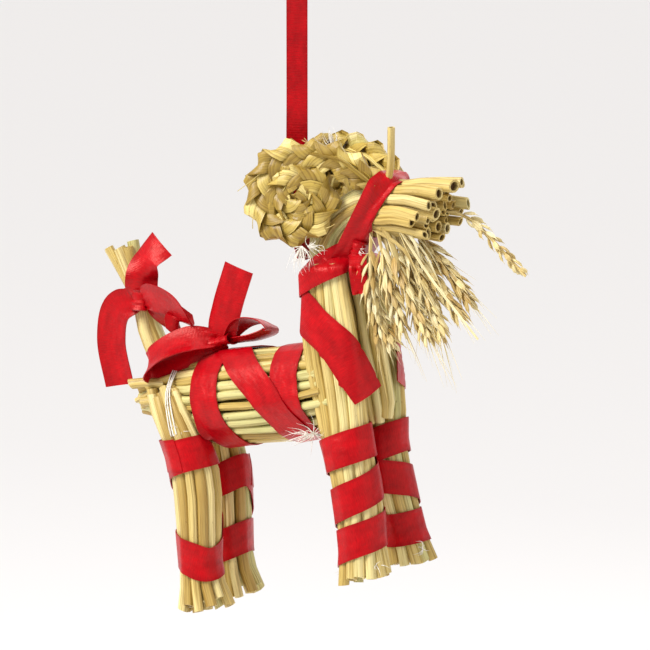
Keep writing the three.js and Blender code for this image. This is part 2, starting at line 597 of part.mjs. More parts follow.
function add(name, geometry, material, parent = goat) {
  const mesh = new THREE.Mesh(geometry, material);
  mesh.name = name;
  parent.add(mesh);
}

add("trunk_and_chest_bundle", trunk, STRAW);
add("tail_bundle", tail, STRAW);
add("head_and_beard_bundle", head, STRAW);
add("body_ribbon", bodyRibbon, SATIN);
add("neck_ribbon", neckRibbon, SATIN);
add("tail_ribbon", tailRibbon, SATIN);
add("rump_thread", rumpThread, COTTON);
add("hanging_ribbon", hangingRibbon, SATIN, ornament);
for (const name of Object.keys(SIDES)) {
  add(`foreleg_${name}_bundle`, legs.fore[name], STRAW);
  add(`rear_leg_${name}_bundle`, legs.rear[name], STRAW);
  add(`horn_${name}_plait`, horns[name], PLAIT);
  add(`foreleg_${name}_ribbon`, foreRibbons[name], SATIN);
  add(`rear_leg_${name}_ribbon`, rearRibbons[name], SATIN);
}

export default ornament;
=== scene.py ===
# %% [markdown]
# # A straw goat, hung by its ribbon
# Goats like this one are made at Christmas from bundles of rye straw. The bundles are tied into legs, trunk,
# neck and tail, two flat plaits are rolled into horns, and red satin ribbon is wound over every tie. The
# solids that carry the goat are ready, so this lesson gives them their looks: single straws, flat strips of
# plait, ribbon that lies on the straw, ears of grain and cotton thread.
# %% Load the frame
import json
import math
import random

import bpy
import numpy as np
from mathutils import Matrix, Vector

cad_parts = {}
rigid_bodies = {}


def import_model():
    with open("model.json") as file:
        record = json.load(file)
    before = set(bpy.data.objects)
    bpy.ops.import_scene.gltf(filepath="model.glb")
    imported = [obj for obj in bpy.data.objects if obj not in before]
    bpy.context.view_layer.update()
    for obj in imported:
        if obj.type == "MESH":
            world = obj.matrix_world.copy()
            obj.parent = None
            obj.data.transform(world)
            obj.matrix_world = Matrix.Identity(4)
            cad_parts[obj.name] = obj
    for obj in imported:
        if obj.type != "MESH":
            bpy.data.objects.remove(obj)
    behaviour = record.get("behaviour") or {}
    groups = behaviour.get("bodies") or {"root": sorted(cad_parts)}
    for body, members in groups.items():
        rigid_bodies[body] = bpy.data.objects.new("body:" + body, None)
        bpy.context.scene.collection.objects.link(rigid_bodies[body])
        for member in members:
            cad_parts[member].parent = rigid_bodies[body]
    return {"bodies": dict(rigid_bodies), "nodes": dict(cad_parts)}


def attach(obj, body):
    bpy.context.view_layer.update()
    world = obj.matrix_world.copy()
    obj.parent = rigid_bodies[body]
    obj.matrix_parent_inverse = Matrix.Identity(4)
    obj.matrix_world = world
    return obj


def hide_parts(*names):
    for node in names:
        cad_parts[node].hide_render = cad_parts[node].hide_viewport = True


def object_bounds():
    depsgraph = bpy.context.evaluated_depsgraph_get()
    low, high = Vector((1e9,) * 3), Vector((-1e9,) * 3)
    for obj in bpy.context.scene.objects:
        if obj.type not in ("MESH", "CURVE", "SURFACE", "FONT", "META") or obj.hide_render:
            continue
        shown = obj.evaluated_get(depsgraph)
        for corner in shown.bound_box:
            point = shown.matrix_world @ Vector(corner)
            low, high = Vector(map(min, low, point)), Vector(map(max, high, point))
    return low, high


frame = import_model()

cad_low, cad_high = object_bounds()
print("solids loaded:", len(frame["nodes"]))

# %% [markdown]
# ## Camera
# The camera comes first, because the hanging ribbon runs out of its view and its loop has to lie just past
# the edge. A long lens from over a metre away keeps the legs parallel. The goat faces right, turned a little
# towards us, and is seen from slightly above.
# %% Place the camera
AZIMUTH, ELEVATION = math.radians(33), math.radians(10)
TARGET = Vector((0.0093, 0.00025, -0.1145))
DISTANCE, LENS = 1.1, 213

back = Vector((math.sin(AZIMUTH) * math.cos(ELEVATION),
               -math.cos(AZIMUTH) * math.cos(ELEVATION), math.sin(ELEVATION)))
bpy.ops.object.camera_add(location=TARGET + DISTANCE * back)
camera = bpy.context.object
camera.rotation_euler = back.to_track_quat("Z", "Y").to_euler()
camera.data.lens = LENS
camera.data.clip_start = 0.05
bpy.context.scene.camera = camera
print("camera at", [round(c, 3) for c in camera.location])

# %% [markdown]
# ## Working level
# The goat hangs nose up by 14 degrees, but it is far easier to model it standing level, with its forefeet at
# height 0. So every piece is laid out level and in millimetres, and one matrix hangs it up at the end. The
# same matrix, turned round, lets us measure the solids in the level frame.
# %% Between the level goat and the hanging one
MM = 0.001
PITCH = math.radians(14)
FOREFEET = Vector((31.1, 0, -183))  # where the middle of the forefeet hangs
HUNG = (Matrix.Scale(MM, 4) @ Matrix.Translation(FOREFEET) @ Matrix.Rotation(-PITCH, 4, "Y"))
LEVEL = HUNG.inverted()


def moved(matrix, points):
    """Rows of points, moved by a matrix."""
    m = np.array(matrix)
    return np.asarray(points) @ m[:3, :3].T + m[:3, 3]


def triangles_of(node):
    """A solid's triangles in the level frame, in millimetres."""
    mesh = frame["nodes"][node].data
    mesh.calc_loop_triangles()
    points = moved(LEVEL, [v.co for v in mesh.vertices])
    return points[[list(t.vertices) for t in mesh.loop_triangles]]


def cut_points(triangles, at, along):
    """Where the edges of some triangles, or lines, cross a plane."""
    starts = triangles.reshape(-1, 3)
    ends = np.roll(triangles, -1, axis=1).reshape(-1, 3)
    a, b = (starts - at) @ along, (ends - at) @ along
    crossing = (a < 0) != (b < 0)
    share = (a / np.where(a == b, 1, a - b))[crossing, None]
    return starts[crossing] + share * (ends - starts)[crossing]


def section(triangles, at, along, side=(0, 1, 0)):
    """A section across `along`: its middle, and its half size along `side` and across that."""
    along, side = np.array(along, float), np.array(side, float)
    along /= np.linalg.norm(along)
    up = np.cross(along, side)
    points = cut_points(triangles, np.array(at, float), along)
    s, u = points @ side, points @ up
    middle = (np.array(at) @ along * along + (s.max() + s.min()) / 2 * side
              + (u.max() + u.min()) / 2 * up)
    return middle, (s.max() - s.min()) / 2, (u.max() - u.min()) / 2


shin = section(triangles_of("foreleg_right_bundle"), (0, 0, 20), (0, 0, 1))
print("right foreleg at height 20:", [round(float(c), 1) for c in shin[0]],
      "half sizes", np.round(shin[1:], 1))

# %% [markdown]
# ## Colour management
# The satin is a strong red, so the plain display curve is used: colours come out as they are set on the
# shaders.
# %% Plain display curve
bpy.context.scene.view_settings.view_transform = "Standard"


def linear(red, green, blue):
    """A display colour, 0 to 255, as the linear colour that shaders use."""
    def channel(c):
        return ((c / 255 + 0.055) / 1.055) ** 2.4 if c > 10 else c / 255 / 12.92

    return channel(red), channel(green), channel(blue), 1


print("pale straw is", [round(c, 2) for c in linear(222, 205, 140)])

# %% [markdown]
# ## A small kit for materials
# Each material is a few nodes in a row. This helper keeps the lines short: it adds a node, sets its inputs
# by name and links whatever is given as a socket.
# %% Node helper


class Nodes:
    """The nodes of one material."""

    def __init__(self, name):
        self.material = bpy.data.materials.new(name)
        self.material.use_nodes = True
        self.tree = self.material.node_tree
        self.shader = self.tree.nodes["Principled BSDF"]

    def add(self, kind, settings=None, **inputs):
        node = self.tree.nodes.new(kind)
        for key, value in (settings or {}).items():
            setattr(node, key, value)
        for key, value in inputs.items():
            self.put(node, key.replace("_", " "), value)
        return node

    def put(self, node, key, value):
        socket = node.inputs[int(key)] if key.isdigit() else node.inputs[key]
        if isinstance(value, bpy.types.NodeSocket):
            self.tree.links.new(value, socket)
        else:
            socket.default_value = value

    def attribute(self, name):
        return self.add("ShaderNodeAttribute", {"attribute_name": name})

    def noise(self, vector, scale, stretch, detail=2.0, rough=0.55):
        """Noise from 0 to 1 over a vector that is stretched first."""
        fitted = self.add("ShaderNodeMapping", {"vector_type": "POINT"}, Vector=vector)
        fitted.inputs["Scale"].default_value = stretch
        return self.add("ShaderNodeTexNoise", Vector=fitted.outputs[0], Scale=scale, Detail=detail,
                        Roughness=rough).outputs[0]

    def ramp(self, value, *stops):
        """A colour ramp with stops of (place, colour)."""
        node = self.add("ShaderNodeValToRGB", Fac=value)
        elements = node.color_ramp.elements
        elements[0].position, elements[0].color = stops[0]
        elements[1].position, elements[1].color = stops[-1]
        for place, colour in stops[1:-1]:
            elements.new(place).color = colour
        return node.outputs[0]

    def mix(self, share, first, second, blend="MIX"):
        node = self.tree.nodes.new("ShaderNodeMix")
        node.data_type = "RGBA"
        node.blend_type = blend
        for place, value in ((0, share), (6, first), (7, second)):
            if isinstance(value, bpy.types.NodeSocket):
                self.tree.links.new(value, node.inputs[place])
            else:
                node.inputs[place].default_value = value
        return node.outputs[2]

    def math(self, operation, first, second=0.5, clamp=False):
        node = self.add("ShaderNodeMath", {"operation": operation, "use_clamp": clamp})
        self.put(node, "0", first)
        self.put(node, "1", second)
        return node.outputs[0]

    def bump(self, height, distance, strength=1.0, under=None):
        node = self.add("ShaderNodeBump", Height=height, Distance=distance, Strength=strength)
        if under is not None:
            self.put(node, "Normal", under)
        return node.outputs[0]

    def finish(self, **inputs):
        for key, value in inputs.items():
            self.put(self.shader, key.replace("_", " "), value)
        return self.material


print("node helper ready")

# %% [markdown]
# ## Straw
# A dry stalk is smooth and a little waxy, with fine lines along it and darker specks where leaves have been.
# No two stalks have one colour: some are gold, most are pale and a few stay green. Every straw will carry
# two values of its own, `tone`, which picks its colour, and `fibre`, its place round and along the stalk in
# millimetres, which the lines follow. A third mark is 1 inside the cut end of a tube, where dark brown is
# painted in as the shade inside the tube.
# %% Straw material


def straw_material(name, dark, middle, pale, green):
    n = Nodes(name)
    fibre = n.attribute("fibre").outputs["Vector"]
    tone = n.attribute("tone").outputs["Fac"]
    hollow_shade = n.attribute("hollow_shade").outputs["Fac"]
    lines = n.noise(fibre, 1.0, (2.6, 2.6, 0.05), 4.0, 0.6)
    patches = n.noise(fibre, 1.0, (0.25, 0.25, 0.07), 2.0)
    specks = n.noise(fibre, 1.0, (1.4, 1.4, 0.5), 2.0, 0.7)
    shade = n.math("ADD", n.math("MULTIPLY", tone, 0.7), n.math("MULTIPLY", patches, 0.3))
    colour = n.ramp(shade, (0.12, dark), (0.4, middle), (0.62, pale), (0.86, green))
    streak = n.ramp(lines, (0.34, (0.55, 0.47, 0.33, 1)), (0.5, (0.92, 0.9, 0.86, 1)),
                    (0.68, (1.08, 1.07, 1.05, 1)))
    colour = n.mix(1.0, colour, streak, "MULTIPLY")
    speck = n.ramp(specks, (0.68, (0, 0, 0, 1)), (0.76, (0.75, 0.75, 0.75, 1)))
    colour = n.mix(speck, colour, linear(120, 84, 38))
    # Inside a cut tube the colour turns dark brown: painted shade inside the tube.
    colour = n.mix(hollow_shade, colour, linear(84, 56, 24))
    relief = n.bump(lines, 0.00022, 0.5)
    gloss = n.math("ADD", n.math("MULTIPLY", lines, 0.25), 0.27)
    return n.finish(Base_Color=colour, Roughness=gloss, Normal=relief, Specular_IOR_Level=0.45)


STRAW = straw_material("straw", linear(158, 122, 54), linear(200, 174, 98), linear(226, 208, 146),
                       linear(190, 188, 122))
PLAIT = straw_material("plaited_straw", linear(136, 106, 36), linear(186, 160, 74), linear(228, 208, 132),
                       linear(170, 162, 80))
print("straw materials:", STRAW.name, PLAIT.name)

# %% [markdown]
# ## Satin
# Satin ribbon is woven so that its long threads float on the face, and the light runs across them as a soft
# bright band. Very fine ribs cross the ribbon, soft creases run over it, and each edge has a firm selvage.
# The colour mixes the face red with a shaded red along slubs and slow patches: partly real slubs, partly
# painted shade and sheen. The selvage is drawn with some of that shaded red, painted shade along the edges.
# The ribbon carries `weave`, its place across and along in millimetres, so the ribs stay square to it round
# every turn.
# %% Satin material


def satin_material(name, rib, face, deep):
    n = Nodes(name)
    weave = n.attribute("weave").outputs["Vector"]
    split = n.add("ShaderNodeSeparateXYZ", Vector=weave)
    ribs = n.math("SINE", n.math("MULTIPLY", split.outputs[1], 2 * math.pi / rib), 0)
    slubs_and_sheen = n.noise(weave, 1.0, (0.4, 4.0, 1.0), 2.0, 0.5)
    drift = n.noise(weave, 1.0, (0.3, 0.12, 1.0), 2.0)
    edge = n.ramp(n.attribute("selvage").outputs["Fac"], (0.8, (0, 0, 0, 1)), (0.93, (1, 1, 1, 1)))
    # Slubs and a slow drift pick between the face red and `deep`, a shaded red: partly real slubs, partly
    # painted shade and sheen.
    shade = n.math("ADD", n.math("MULTIPLY", slubs_and_sheen, 0.45), n.math("MULTIPLY", drift, 0.55))
    colour = n.ramp(shade, (0.3, deep), (0.7, face))
    # The edges take some of the shaded red: a real selvage, drawn as painted shade.
    colour = n.mix(n.math("MULTIPLY", edge, 0.35), colour, deep)
    height = n.math("ADD", n.math("MULTIPLY", ribs, 0.4), n.math("MULTIPLY", slubs_and_sheen, 0.8))
    creases = n.noise(weave, 1.0, (0.55, 0.3, 1.0), 3.0, 0.5)
    relief = n.bump(height, 0.00005, 0.6, n.bump(creases, 0.0006, 0.35))
    gloss = n.math("ADD", n.math("MULTIPLY", slubs_and_sheen, 0.12), 0.25)
    return n.finish(Base_Color=colour, Roughness=gloss, Normal=relief, Specular_IOR_Level=0.6,
                    Specular_Tint=linear(255, 150, 140))


# The last colour of each ribbon is a shaded red, used as painted shade and sheen.
SATIN = satin_material("satin_ribbon", 0.42, linear(192, 3, 18), linear(134, 1, 11))
GROSGRAIN = satin_material("hanging_satin", 0.75, linear(186, 3, 18), linear(128, 1, 11))
print("ribbon materials:", SATIN.name, GROSGRAIN.name)

# %% [markdown]
# ## Husk and cotton
# The husks of the grain ears are thin and dry and let light through, though their material here is opaque,
# with fine veins. The cotton thread is matt and hairy.
# %% Husk and cotton materials


def husk_material():
    n = Nodes("husk")
    fibre = n.attribute("fibre").outputs["Vector"]
    tone = n.attribute("tone").outputs["Fac"]
    veins = n.noise(fibre, 1.0, (3.2, 3.2, 0.12), 3.0)
    colour = n.ramp(tone, (0.1, linear(186, 154, 88)), (0.5, linear(216, 196, 136)),
                    (0.9, linear(234, 224, 182)))
    streak = n.ramp(veins, (0.35, (0.62, 0.55, 0.42, 1)), (0.6, (1.05, 1.04, 1.0, 1)))
    relief = n.bump(veins, 0.0002, 0.5)
    return n.finish(Base_Color=n.mix(1.0, colour, streak, "MULTIPLY"), Roughness=0.5, Normal=relief)


def cotton_material():
    n = Nodes("cotton_thread")
    fibre = n.attribute("fibre").outputs["Vector"]
    twist = n.noise(fibre, 1.0, (3.0, 3.0, 1.2), 3.0)
    colour = n.ramp(twist, (0.3, linear(205, 198, 182)), (0.7, linear(246, 243, 236)))
    return n.finish(Base_Color=colour, Roughness=0.9, Normal=n.bump(twist, 0.0001, 0.6))


HUSK, COTTON = husk_material(), cotton_material()
print("other materials:", HUSK.name, COTTON.name)

# %% [markdown]
# ## Templates, and how they are laid
# Some 250 straws, 30 flat strips, 23 lengths of ribbon and 400 husks are all one idea: a short straight
# thing, modelled once, that is copied and bent along a line. A Curve modifier could bend it, but it also
# decides how the copy rolls about the line, and a flat ribbon needs that roll under control. So a template is
# modelled by hand with its length on Z from 0 to 1, and `lay` moves each point of a copy to the same place
# along a smooth line, with a chosen direction across it.
# %% Smooth lines


def smooth(points, count):
    """A smooth line through some points: `count` points evenly along a centripetal Catmull-Rom spline."""
    p = np.asarray(points, float)
    if len(p) == 2:
        return p[0] + np.linspace(0, 1, count)[:, None] * (p[1] - p[0])
    p = np.vstack([2 * p[0] - p[1], p, 2 * p[-1] - p[-2]])
    fine = []
    for a, b, c, d in zip(p, p[1:], p[2:], p[3:]):
        k = [0.0]
        for q, r in ((a, b), (b, c), (c, d)):
            k.append(k[-1] + max(np.linalg.norm((r - q)[:3]), 1e-6) ** 0.5)
        t = np.linspace(k[1], k[2], 24, endpoint=False)[:, None]
        ab, bc, cd = [((k[i + 1] - t) * q + (t - k[i]) * r) / (k[i + 1] - k[i])
                      for i, (q, r) in enumerate(((a, b), (b, c), (c, d)))]
        abc = ((k[2] - t) * ab + (t - k[0]) * bc) / (k[2] - k[0])
        bcd = ((k[3] - t) * bc + (t - k[1]) * cd) / (k[3] - k[1])
        fine.append(((k[2] - t) * abc + (t - k[1]) * bcd) / (k[2] - k[1]))
    fine = np.vstack(fine + [p[-2][None]])
    far = np.concatenate([[0], np.cumsum(np.linalg.norm(np.diff(fine[:, :3], axis=0), axis=1))])
    return np.stack([np.interp(np.linspace(0, far[-1], count), far, column) for column in fine.T], 1)


def unit(rows):
    return rows / np.maximum(np.linalg.norm(rows, axis=-1, keepdims=True), 1e-9)


def length_of(line):
    return float(np.linalg.norm(np.diff(line, axis=0), axis=1).sum())


quarter = smooth([(10, 0, 0), (7.07, 7.07, 0), (0, 10, 0)], 50)
print("a quarter circle of radius 10 is", round(length_of(quarter), 2), "long")

# %% Lay a copy of a template along a line
PATTERN_SHIFT = np.array([37, 11])  # how far `tone` moves a copy's pattern, so that no two look alike


def store(mesh, name, kind, values):
    """Keeps a value or vector for every vertex."""
    layer = mesh.attributes.get(name) or mesh.attributes.new(name, kind, "POINT")
    field = "value" if kind == "FLOAT" else "vector"
    layer.data.foreach_set(field, np.asarray(values, np.float32).ravel())


def add_copy(template, name, points):
    """A copy of a template, with its own mesh, whose vertices go to these points of the level goat."""
    mesh = template.data.copy()
    mesh.vertices.foreach_set("co", moved(HUNG, points).astype(np.float32).ravel())
    mesh.update()
    piece = bpy.data.objects.new(name, mesh)
    bpy.context.collection.objects.link(piece)
    return piece


def lay(template, name, line, across, half_wide, half_thick, roll=0.0, tone=0.5, cut=0.0, bend=None):
    """Lays a template along a line. `across` is the direction of its X, and half sizes may change
    along it. `cut` slants the ends, and `bend` lifts each point by its place along and across."""
    local = np.array([v.co for v in template.data.vertices])
    x, y, t = local[:, 0], local[:, 1], np.clip(local[:, 2], 0, 1)
    count = len(line)
    places = np.linspace(0, 1, count)
    along = unit(np.gradient(line, axis=0))
    sides = np.broadcast_to(np.asarray(across, float), (count, 3))
    sides = unit(sides - (sides * along).sum(1, keepdims=True) * along)
    ups = np.cross(along, sides)

    def at(rows):
        rows = np.broadcast_to(np.asarray(rows, float), (count,)) if np.ndim(rows) < 2 else rows
        if rows.ndim == 1:
            return np.interp(t, places, rows)
        return np.stack([np.interp(t, places, column) for column in rows.T], 1)

    angle = at(roll)
    side, up, forward = unit(at(sides)), unit(at(ups)), unit(at(along))
    side, up = (side * np.cos(angle)[:, None] + up * np.sin(angle)[:, None],
                up * np.cos(angle)[:, None] - side * np.sin(angle)[:, None])
    wide, thick = x * at(half_wide), y * at(half_thick)
    lift = 0 if bend is None else bend(t, x)
    length = length_of(line)
    slant = cut * x * np.abs(2 * t - 1) ** 12
    points = at(line) + side * wide[:, None] + up * (thick + lift)[:, None] + forward * slant[:, None]
    piece = add_copy(template, name, points)
    store(piece.data, "tone", "FLOAT", np.full(len(x), tone))
    shift = PATTERN_SHIFT * tone
    fibre = np.stack([wide + shift[0], thick + shift[1], t * length], 1)
    store(piece.data, "fibre", "FLOAT_VECTOR", fibre)
    store(piece.data, "weave", "FLOAT_VECTOR", np.stack([wide + shift[0], t * length, 0 * t], 1))
    return piece


print("ready to lay copies")

# %% [markdown]
# ## Joining
# The twenty straws of a foreleg are joined into one piece with one finish, and so are all the bundles. The
# piece rides on the goat's body and stands for the solid that it covers. Smooth shading up to an angle keeps
# the tubes round and their cut rims sharp.
# %% Join what belongs together
BODY = list(frame["bodies"])[0]


def deselect():
    for piece in bpy.context.selected_objects:
        piece.select_set(False)


SMOOTH_UNDER = math.radians(40)


def join(name, parts, material, slot, *nodes):
    """Joins copies into one piece with one finish, which stands for some solids of the frame."""
    deselect()
    for part in parts:
        part.select_set(True)
    bpy.context.view_layer.objects.active = parts[0]
    if len(parts) > 1:
        bpy.ops.object.join()
    piece = bpy.context.object
    piece.name = piece.data.name = name
    piece.data.materials.clear()
    piece.data.materials.append(material)
    bpy.ops.object.shade_smooth_by_angle(angle=SMOOTH_UNDER)
    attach(piece, BODY)
    if nodes:
        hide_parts(*nodes)
    faces = len(piece.data.polygons)
    print(f"{name}: {len(parts)} parts, {faces} faces")
    return piece


print("the body is", BODY)

# %% [markdown]
# ## The straw template
# A straw is a thin tube, so its cut ends are open. It starts as a ten-sided cylinder. Each end face is inset,
# which leaves the wall of the tube, and pushed in. Then the long edges are subdivided so that the straw can
# bend. Its inner faces are marked for the painted shade inside the tube.
# %% Edit-mode helpers


def start_editing(kind="FACE"):
    bpy.ops.object.mode_set(mode="EDIT")
    bpy.ops.mesh.select_mode(type=kind)
    bpy.ops.mesh.select_all(action="DESELECT")
    bpy.ops.object.mode_set(mode="OBJECT")


def pick(parts, test):
    """Selects the faces or edges that pass a test, and goes into edit mode."""
    count = 0
    for part in parts:
        part.select = bool(test(part))
        count += part.select
    bpy.ops.object.mode_set(mode="EDIT")
    return count


def done_editing():
    bpy.ops.object.mode_set(mode="OBJECT")


def put_away(template):
    """Takes a template out of the scene, so that only its copies show."""
    for holder in list(template.users_collection):
        holder.objects.unlink(template)
    return template


# %% Model one straw


def straw_template(name, sides, cuts, wall=0.3, depth=0.05):
    deselect()
    bpy.ops.mesh.primitive_cylinder_add(vertices=sides, radius=1, depth=1, location=(0, 0, 0.5))
    straw = bpy.context.object
    straw.name = name
    bpy.ops.object.transform_apply(location=True)
    mesh = straw.data
    for end, inwards in ((1, -depth), (-1, depth)):
        start_editing()
        pick(mesh.polygons, lambda f: f.normal.z * end > 0.9)
        bpy.ops.mesh.inset(thickness=wall)
        bpy.ops.mesh.extrude_region_move(TRANSFORM_OT_translate={"value": (0, 0, inwards)})
        done_editing()
    start_editing("EDGE")

    def is_long(edge):
        a, b = (mesh.vertices[i].co for i in edge.vertices)
        return abs(a.z - b.z) > 0.5

    pick(mesh.edges, is_long)
    bpy.ops.mesh.subdivide(number_cuts=cuts)
    done_editing()
    # The inner vertices of the ends are marked for the painted shade inside the tube.
    inner = [math.hypot(v.co.x, v.co.y) < 0.9 and 1e-4 < v.co.z < 0.9999 for v in mesh.vertices]
    store(mesh, "hollow_shade", "FLOAT", [float(i) for i in inner])
    return put_away(straw)


STALK = straw_template("stalk", 10, 9)
print("a stalk has", len(STALK.data.polygons), "faces")

# %% [markdown]
# ## Packing a bundle
# In a tied bundle the straws sit in rings, an outer ring that shows and one or two inside it. Each one keeps
# its own place in the ring but wanders a little on its way. `bundle` measures the sections of the solid that
# the bundle stands for, so the straws fill exactly its form.
# %% Lay the straws of a bundle
random.seed(24)


def rings(*counts):
    """Places in a unit disc: rings of straws from the outside in, as (x, y)."""
    places = []
    for ring, count in enumerate(counts):
        reach = 1 - ring * (1 / max(len(counts) - (1 if counts[-1] == 1 else 0.5), 1))
        turn = random.uniform(0, 6.28)
        for i in range(count):
            angle = turn + 2 * math.pi * (i + random.uniform(-0.12, 0.12)) / count
            places.append((reach * math.cos(angle), reach * math.sin(angle)))
    return places


STRAW_TONES = (0.15, 0.95)
STRAW_ACROSS = {True: (0.3, 1, 0.2), False: (0, 1, 0.3)}  # well off an upright straw, and a level one


def bundle(name, stations, places, radius, ends=(0.0, 0.0), rag=1.5, splay=0.0, wander=0.25):
    """Straws along measured stations of (middle, half side, half up, side, up). `ends` lengthens the
    two ends, `rag` makes them uneven, `splay` spreads them and `wander` lets each straw stray."""
    middles = np.array([s[0] for s in stations])
    halves = np.array([[s[1], s[2]] for s in stations])
    sides, ups = np.array([s[3] for s in stations]), np.array([s[4] for s in stations])
    straws = []
    for px, py in places:
        r = radius * random.uniform(0.86, 1.12)
        drift = np.cumsum([[random.gauss(0, wander), random.gauss(0, wander)] for _ in stations], axis=0)
        drift -= drift.mean(0)
        spread = np.maximum(halves - r, 0.4)
        route = (middles + sides * (px * spread[:, :1] + drift[:, :1])
                 + ups * (py * spread[:, 1:] + drift[:, 1:]))
        for end, at, before in ((0, 0, 1), (1, -1, -2)):
            out = unit(route[at] - route[before])
            route[at] = route[at] + out * (ends[end] + random.uniform(-rag, rag))
            route[at] = route[at] + (route[at] - middles[at]) * splay * random.uniform(0.2, 1)
        flat = random.uniform(0.8, 1.0)
        line = smooth(route, 40)
        upright = bool(abs(line[-1][2] - line[0][2]) > 20)
        straws.append(lay(STALK, f"{name}_straw", line, STRAW_ACROSS[upright], r, r * flat,
                          roll=random.uniform(0, 3.14), tone=random.uniform(*STRAW_TONES),
                          cut=random.uniform(-0.3, 0.3) * r))
    return straws


def measured(node, marks, along, side=(0, 1, 0), where=None):
    """Stations of a solid, measured at some points along a direction."""
    triangles = triangles_of(node)
    if where is not None:
        triangles = triangles[where(triangles.mean(1))]
    side = np.array(side, float)
    up = np.cross(unit(np.array(along, float)), side)
    return [(*section(triangles, at, along, side), side, up) for at in marks]


print("seeded the straws")

# %% [markdown]
# ## Forelegs
# A foreleg's straws run from the splayed foot up the side of the neck, where they lie flatter. They are
# packed in rings and follow the solid's sections, so their cut ends fill the foot.
# %% Forelegs
UP, FORWARD = (0, 0, 1), (1, 0, 0)
LEG_STRAW = 1.62  # half the thickness of a leg's straw
FORE_HEIGHTS = [0.8, 8, 20, 34, 45, 55, 70, 86, 88.6]

forelegs = {}
for side in ("right", "left"):
    node = f"foreleg_{side}_bundle"
    stations = measured(node, [(0, 0, z) for z in FORE_HEIGHTS], UP)
    straws = bundle("foreleg", stations, rings(13, 6, 1), LEG_STRAW, ends=(0.8, 0), rag=0.9, splay=0.1,
                    wander=0.12)
    forelegs[side] = join(f"foreleg_{side}_straws", straws, STRAW, "straw", node)

# %% [markdown]
# ## Rear legs
# These are separate bundles, bound against the flanks. Their tops spread over the rump in a ragged row.
# %% Rear legs
REAR_HEIGHTS = [-1, 7, 20, 34, 42, 49, 55, 60]

rearlegs = {}
for side in ("right", "left"):
    node = f"rear_leg_{side}_bundle"
    stations = measured(node, [(0, 0, z) for z in REAR_HEIGHTS], UP)
    straws = bundle("rear_leg", stations, rings(12, 6, 1), LEG_STRAW, ends=(0.8, 1.0), rag=2.0, splay=0.1,
                    wander=0.12)
    rearlegs[side] = join(f"rear_leg_{side}_straws", straws, STRAW, "straw", node)

# %% [markdown]
# ## Trunk and chest
# The trunk is the thickest bundle. It tapers to loose ends behind the rump, where short torn straws stick
# out as well. A flat sheaf of straw runs up the middle of the chest, between the forelegs. Trunk and chest
# meet at a right angle, so each gets stations of its own, and the two sets of straws are joined.
# %% Trunk and chest
TRUNK_MARKS = [-69.5, -63, -56, -47, -35, -22, -10]
CHEST_HEIGHTS = [42.6, 47, 55, 62, 70, 76, 85, 88.4]
SIDEWAYS, UPWARDS = np.array([0.0, 1.0, 0.0]), np.array([0.0, 0.0, 1.0])

CHEST_BACK = -4  # the chest's straws are in front of this, and the trunk's behind it

trunk_stations = measured("trunk_and_chest_bundle", [(x, 0, 0) for x in TRUNK_MARKS], FORWARD,
                          where=lambda c: c[:, 0] < CHEST_BACK)
chest_stations = measured("trunk_and_chest_bundle", [(0, 0, z) for z in CHEST_HEIGHTS], UP,
                          where=lambda c: c[:, 0] > CHEST_BACK)
trunk_straws = bundle("trunk", trunk_stations, rings(28, 22, 9), 1.5, ends=(0.5, 9), rag=2.6, wander=0.3)
chest_straws = bundle("chest", chest_stations, rings(14, 5), 1.5, ends=(0, 0), rag=0.8, wander=0.12)
rump_straws = []
for _ in range(22):
    root = np.array([random.uniform(-58, -52), random.uniform(-12, 9), random.uniform(50, 66)])
    tip = np.array([random.uniform(-71, -62), 0, root[2] + random.uniform(-3, 2)])
    tip = tip + SIDEWAYS * (root[1] * 1.15)
    r = random.uniform(0.9, 1.6)
    crown = (root + tip) / 2 + UPWARDS * random.uniform(0, 1)
    rump_straws.append(lay(STALK, "rump_straw", smooth([root, crown, tip], 20), STRAW_ACROSS[False],
                           r, r * random.uniform(0.5, 1), roll=random.uniform(0, 3), tone=random.random(),
                           cut=random.uniform(-0.8, 0.8)))
trunk = join("trunk_and_chest_straws", trunk_straws + chest_straws + rump_straws, STRAW, "straw",
             "trunk_and_chest_bundle")

# %% [markdown]
# ## Tail
# The tail stands on the rump like a small broom: straws that are drawn together in a tie and flare above it.
# Its cut ends show as open tubes. It is one more bundle, with a first station set down inside the rump, so
# that it starts within the straw.
# %% Tail
TAIL_MARKS = [(-64, 0, 71), (-66, 0, 79), (-66.6, 0, 89), (-68, 0, 97), (-69.4, 0, 104)]
tail_stations = measured("tail_bundle", TAIL_MARKS, UP)
TAIL_ROOT, TAIL_ROOT_HALF = np.array([-61.5, 0, 64]), 3.6
tail_stations.insert(0, (TAIL_ROOT, TAIL_ROOT_HALF, TAIL_ROOT_HALF, *tail_stations[0][3:]))
tail_straws = bundle("tail", tail_stations, rings(8, 3), 1.7, ends=(0, 0.5), rag=1.6, splay=0.35,
                     wander=0.2)
tail = join("tail_straws", tail_straws, STRAW, "straw", "tail_bundle")

# %% [markdown]
# ## Head
# The neck's straws bend forward through a tie. Here they run from the top of the neck to just past that tie,
# and the muzzle takes over from them. The line through the head is short, so its points are listed.
# %% Head straws
TIE_MIDDLE = np.array([23.6, 0.0, 102.4])
TIE_LONG = unit(np.array([0.69, 0.0, 0.72]))  # the long way of the tie's oval, up and forward
TIE_AXIS = unit(np.array([0.72, 0.0, -0.69]))
HEAD_LINE = [(4.8, 88), (5.6, 94.4), (9.4, 99), (15, 101.6), (22, 102), (27, 100)]
HEAD_HALVES = [  # half sizes sideways, and across that
    (8.6, 8.2), (8.2, 8), (6.4, 6.6), (6.4, 6.8), (6.6, 7.6), (6, 7)]


